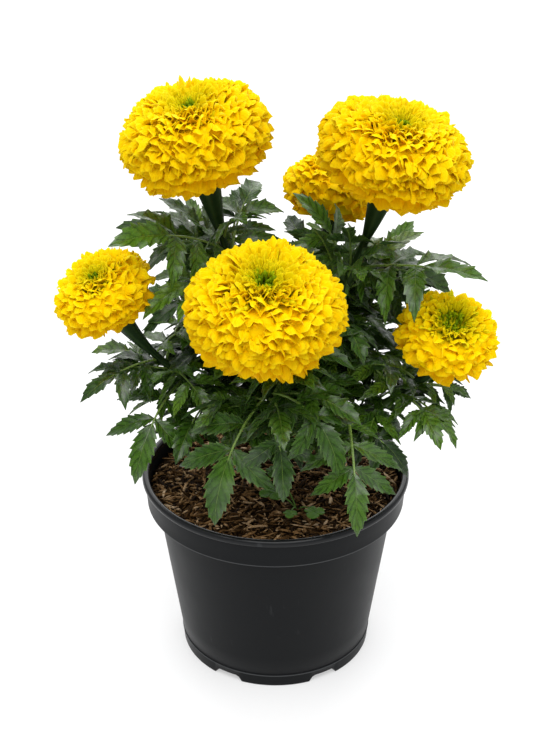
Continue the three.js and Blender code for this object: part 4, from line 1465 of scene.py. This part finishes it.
def splinter_paths(index):
    """Bowed paths of the splinters, scattered by the golden angle, headed and tilted by draws."""
    distance = CHIP_SPREAD * np.sqrt((index + 0.5) / CHIP_COUNT)
    x, y = swing(distance, 0, GOLDEN_ANGLE * index)
    length = between(*CHIP_LENGTHS, draw(1, index) ** 2.2)
    length = np.minimum(length, 2.2 * (CHIP_LIMIT - distance) + 2.2)
    heading = 2 * np.pi * draw(2, index)
    tilt = 0.9 * (draw(3, index) - 0.5) + 0.3 * (draw(4, index) - 0.5)
    ahead = np.stack([np.cos(heading) * np.cos(tilt), np.sin(heading) * np.cos(tilt), np.sin(tilt)], -1)
    side = np.stack([-np.sin(heading), np.cos(heading), 0 * heading], -1)
    middle = np.stack([x, y, soil_height(x, y) + 1.3 * draw(5, index)], -1)
    step = np.linspace(-0.5, 0.5, CHIP_STEPS)[:, None]
    bow = 0.16 * (draw(6, index) - 0.5)[:, None, None] * (4 * step**2)
    return middle[:, None] + length[:, None, None] * (ahead[:, None] * step + side[:, None] * bow), length


def make_splinters():
    """Flattened and jagged tubes that taper to both ends, with a tone for each and streaks along it."""
    index = np.arange(CHIP_COUNT)
    paths, length = splinter_paths(index)
    blunt = 1 - 0.55 * np.abs(np.linspace(-1, 1, CHIP_STEPS)) ** 3
    width = between(*CHIP_WIDTHS, draw(7, index) ** 1.3) * np.clip(length / 6, 0.7, 1.2)
    point = np.arange(CHIP_STEPS * CHIP_SIDES).reshape(CHIP_STEPS, CHIP_SIDES)
    jag = 0.75 + 0.5 * draw(index[:, None, None] + 9, point)
    points, faces = tubes(paths, (width[:, None] * blunt)[:, :, None] * jag, CHIP_SIDES)
    level = np.repeat(0.5 * (paths[:, 0, 2] + paths[:, -1, 2]), point.size)
    points[:, 2] = between(level, points[:, 2], CHIP_FLATNESS)
    tone = between(0.05, 0.9, draw(8, index) ** 1.3) + 0.25 * (draw(10, index) > 0.96)
    along = index[:, None, None] + np.linspace(0, 1, CHIP_STEPS)[:, None] + 0 * point
    around = np.linspace(0, 1, CHIP_SIDES) + 0 * along
    return {
        "points": points, "faces": faces, "uv": np.stack([along.ravel(), around.ravel()], -1),
        "tone": np.repeat(tone, point.size),
    }


mix = join_parts(ground, make_splinters())
add_piece("bark_mix", BARK_MATERIAL, "bark_mix", ["potting_mix"], **mix)

# %% [markdown]
# ## Clover seedling
#
# A small weed has come up in front of the plant, with three notched round leaflets on each thin stalk. A
# flat cut-out would do from far off, but it would have no fold. So each leaflet is a grid whose length dips
# at the middle of its end, which gives the heart shape, and whose two halves rise from the fold.

# %% Seedling finish
def make_clover_material():
    """Fresh green with paler veins that leave the middle fold of each leaflet."""
    material, tree = new_material("clover leaf", Specular_IOR_Level=0.1)
    veins = ribs(tree, pattern_place(tree), 5.0, 0.7, 0.2)
    cloud = mottle(tree, object_place(tree), 300.0)
    colour = blend_colours(tree, cloud, (0.05, 0.13, 0.018), (0.1, 0.22, 0.03))
    colour = blend_colours(tree, calculate(tree, "MULTIPLY", veins, 0.3), colour, (0.2, 0.32, 0.08))
    return connect_finish(material, colour, spread(tree, cloud, 0, 1, 0.45, 0.6), veins, strength=0.3)


CLOVER_MATERIAL = make_clover_material()

# %% Seedling
SEEDLING_BASE = (12, -33)
SPRIGS = (((-2, -40, 121), 7.5), ((21, -48, 114), 6.5), ((0, -27, 127), 6.5), ((8, -48, 113), 4.5))
LEAFLETS_A_SPRIG = 3
LEAFLET_GRID = 9
LEAFLET_THICKNESS = 0.35
STALK_RADIUS = 0.42
STALK_STEPS = 10
STALK_SIDES = 6


def clover_leaflets(rows, columns):
    """Middle surfaces of the leaflets: [leaflet, row, column, xyz], from the stalk outwards."""
    row = rows[:, None]
    middle = []
    for number, (top, size) in enumerate(SPRIGS):  # the top of its stalk, and how long its leaflets are
        half = 0.575 * size * np.sin(np.pi * np.minimum(0.78 * row**0.8, 1))
        out = size * row * (1 - 0.16 * (1 - np.abs(columns)) ** 2 * row**3) * (1 - 0.2 * columns**2 * row)
        for part in range(LEAFLETS_A_SPRIG):
            lift = 0.16 * size * np.abs(columns) * row - 0.12 * size * row**2 + 0.1 * draw(number, part)
            x, y = swing(out, columns * half, 2 * np.pi * part / LEAFLETS_A_SPRIG + size)
            middle.append(np.stack([x, y, lift + 0 * x], -1) + np.array(top))
    return np.array(middle)


def make_seedling():
    """Heart-shaped leaflets, and a thin bent stalk for every three."""
    rows, columns = np.linspace(0, 1, LEAFLET_GRID), np.linspace(-1, 1, LEAFLET_GRID)
    points, faces = close_blades(clover_leaflets(rows, columns), LEAFLET_THICKNESS)
    foot = np.array([*SEEDLING_BASE, SOIL_LEVEL + 2.0])
    step = np.linspace(0, 1, STALK_STEPS)
    stalks = [bezier([foot, between(foot, np.array(top), 0.4) + (0, 0, 6), top], step) for top, _ in SPRIGS]
    stalk_points, stalk_faces = tubes(np.array(stalks), STALK_RADIUS, STALK_SIDES)
    seedling = join_parts(
        {"points": points.reshape(-1, 3), "faces": faces, "uv": blade_pattern(rows, columns, len(points))},
        {"points": stalk_points, "faces": stalk_faces, "uv": np.full((len(stalk_points), 2), 0.5)},
    )
    add_piece("clover", CLOVER_MATERIAL, "seedling_leaf", ["clover_seedling"], **seedling)


make_seedling()
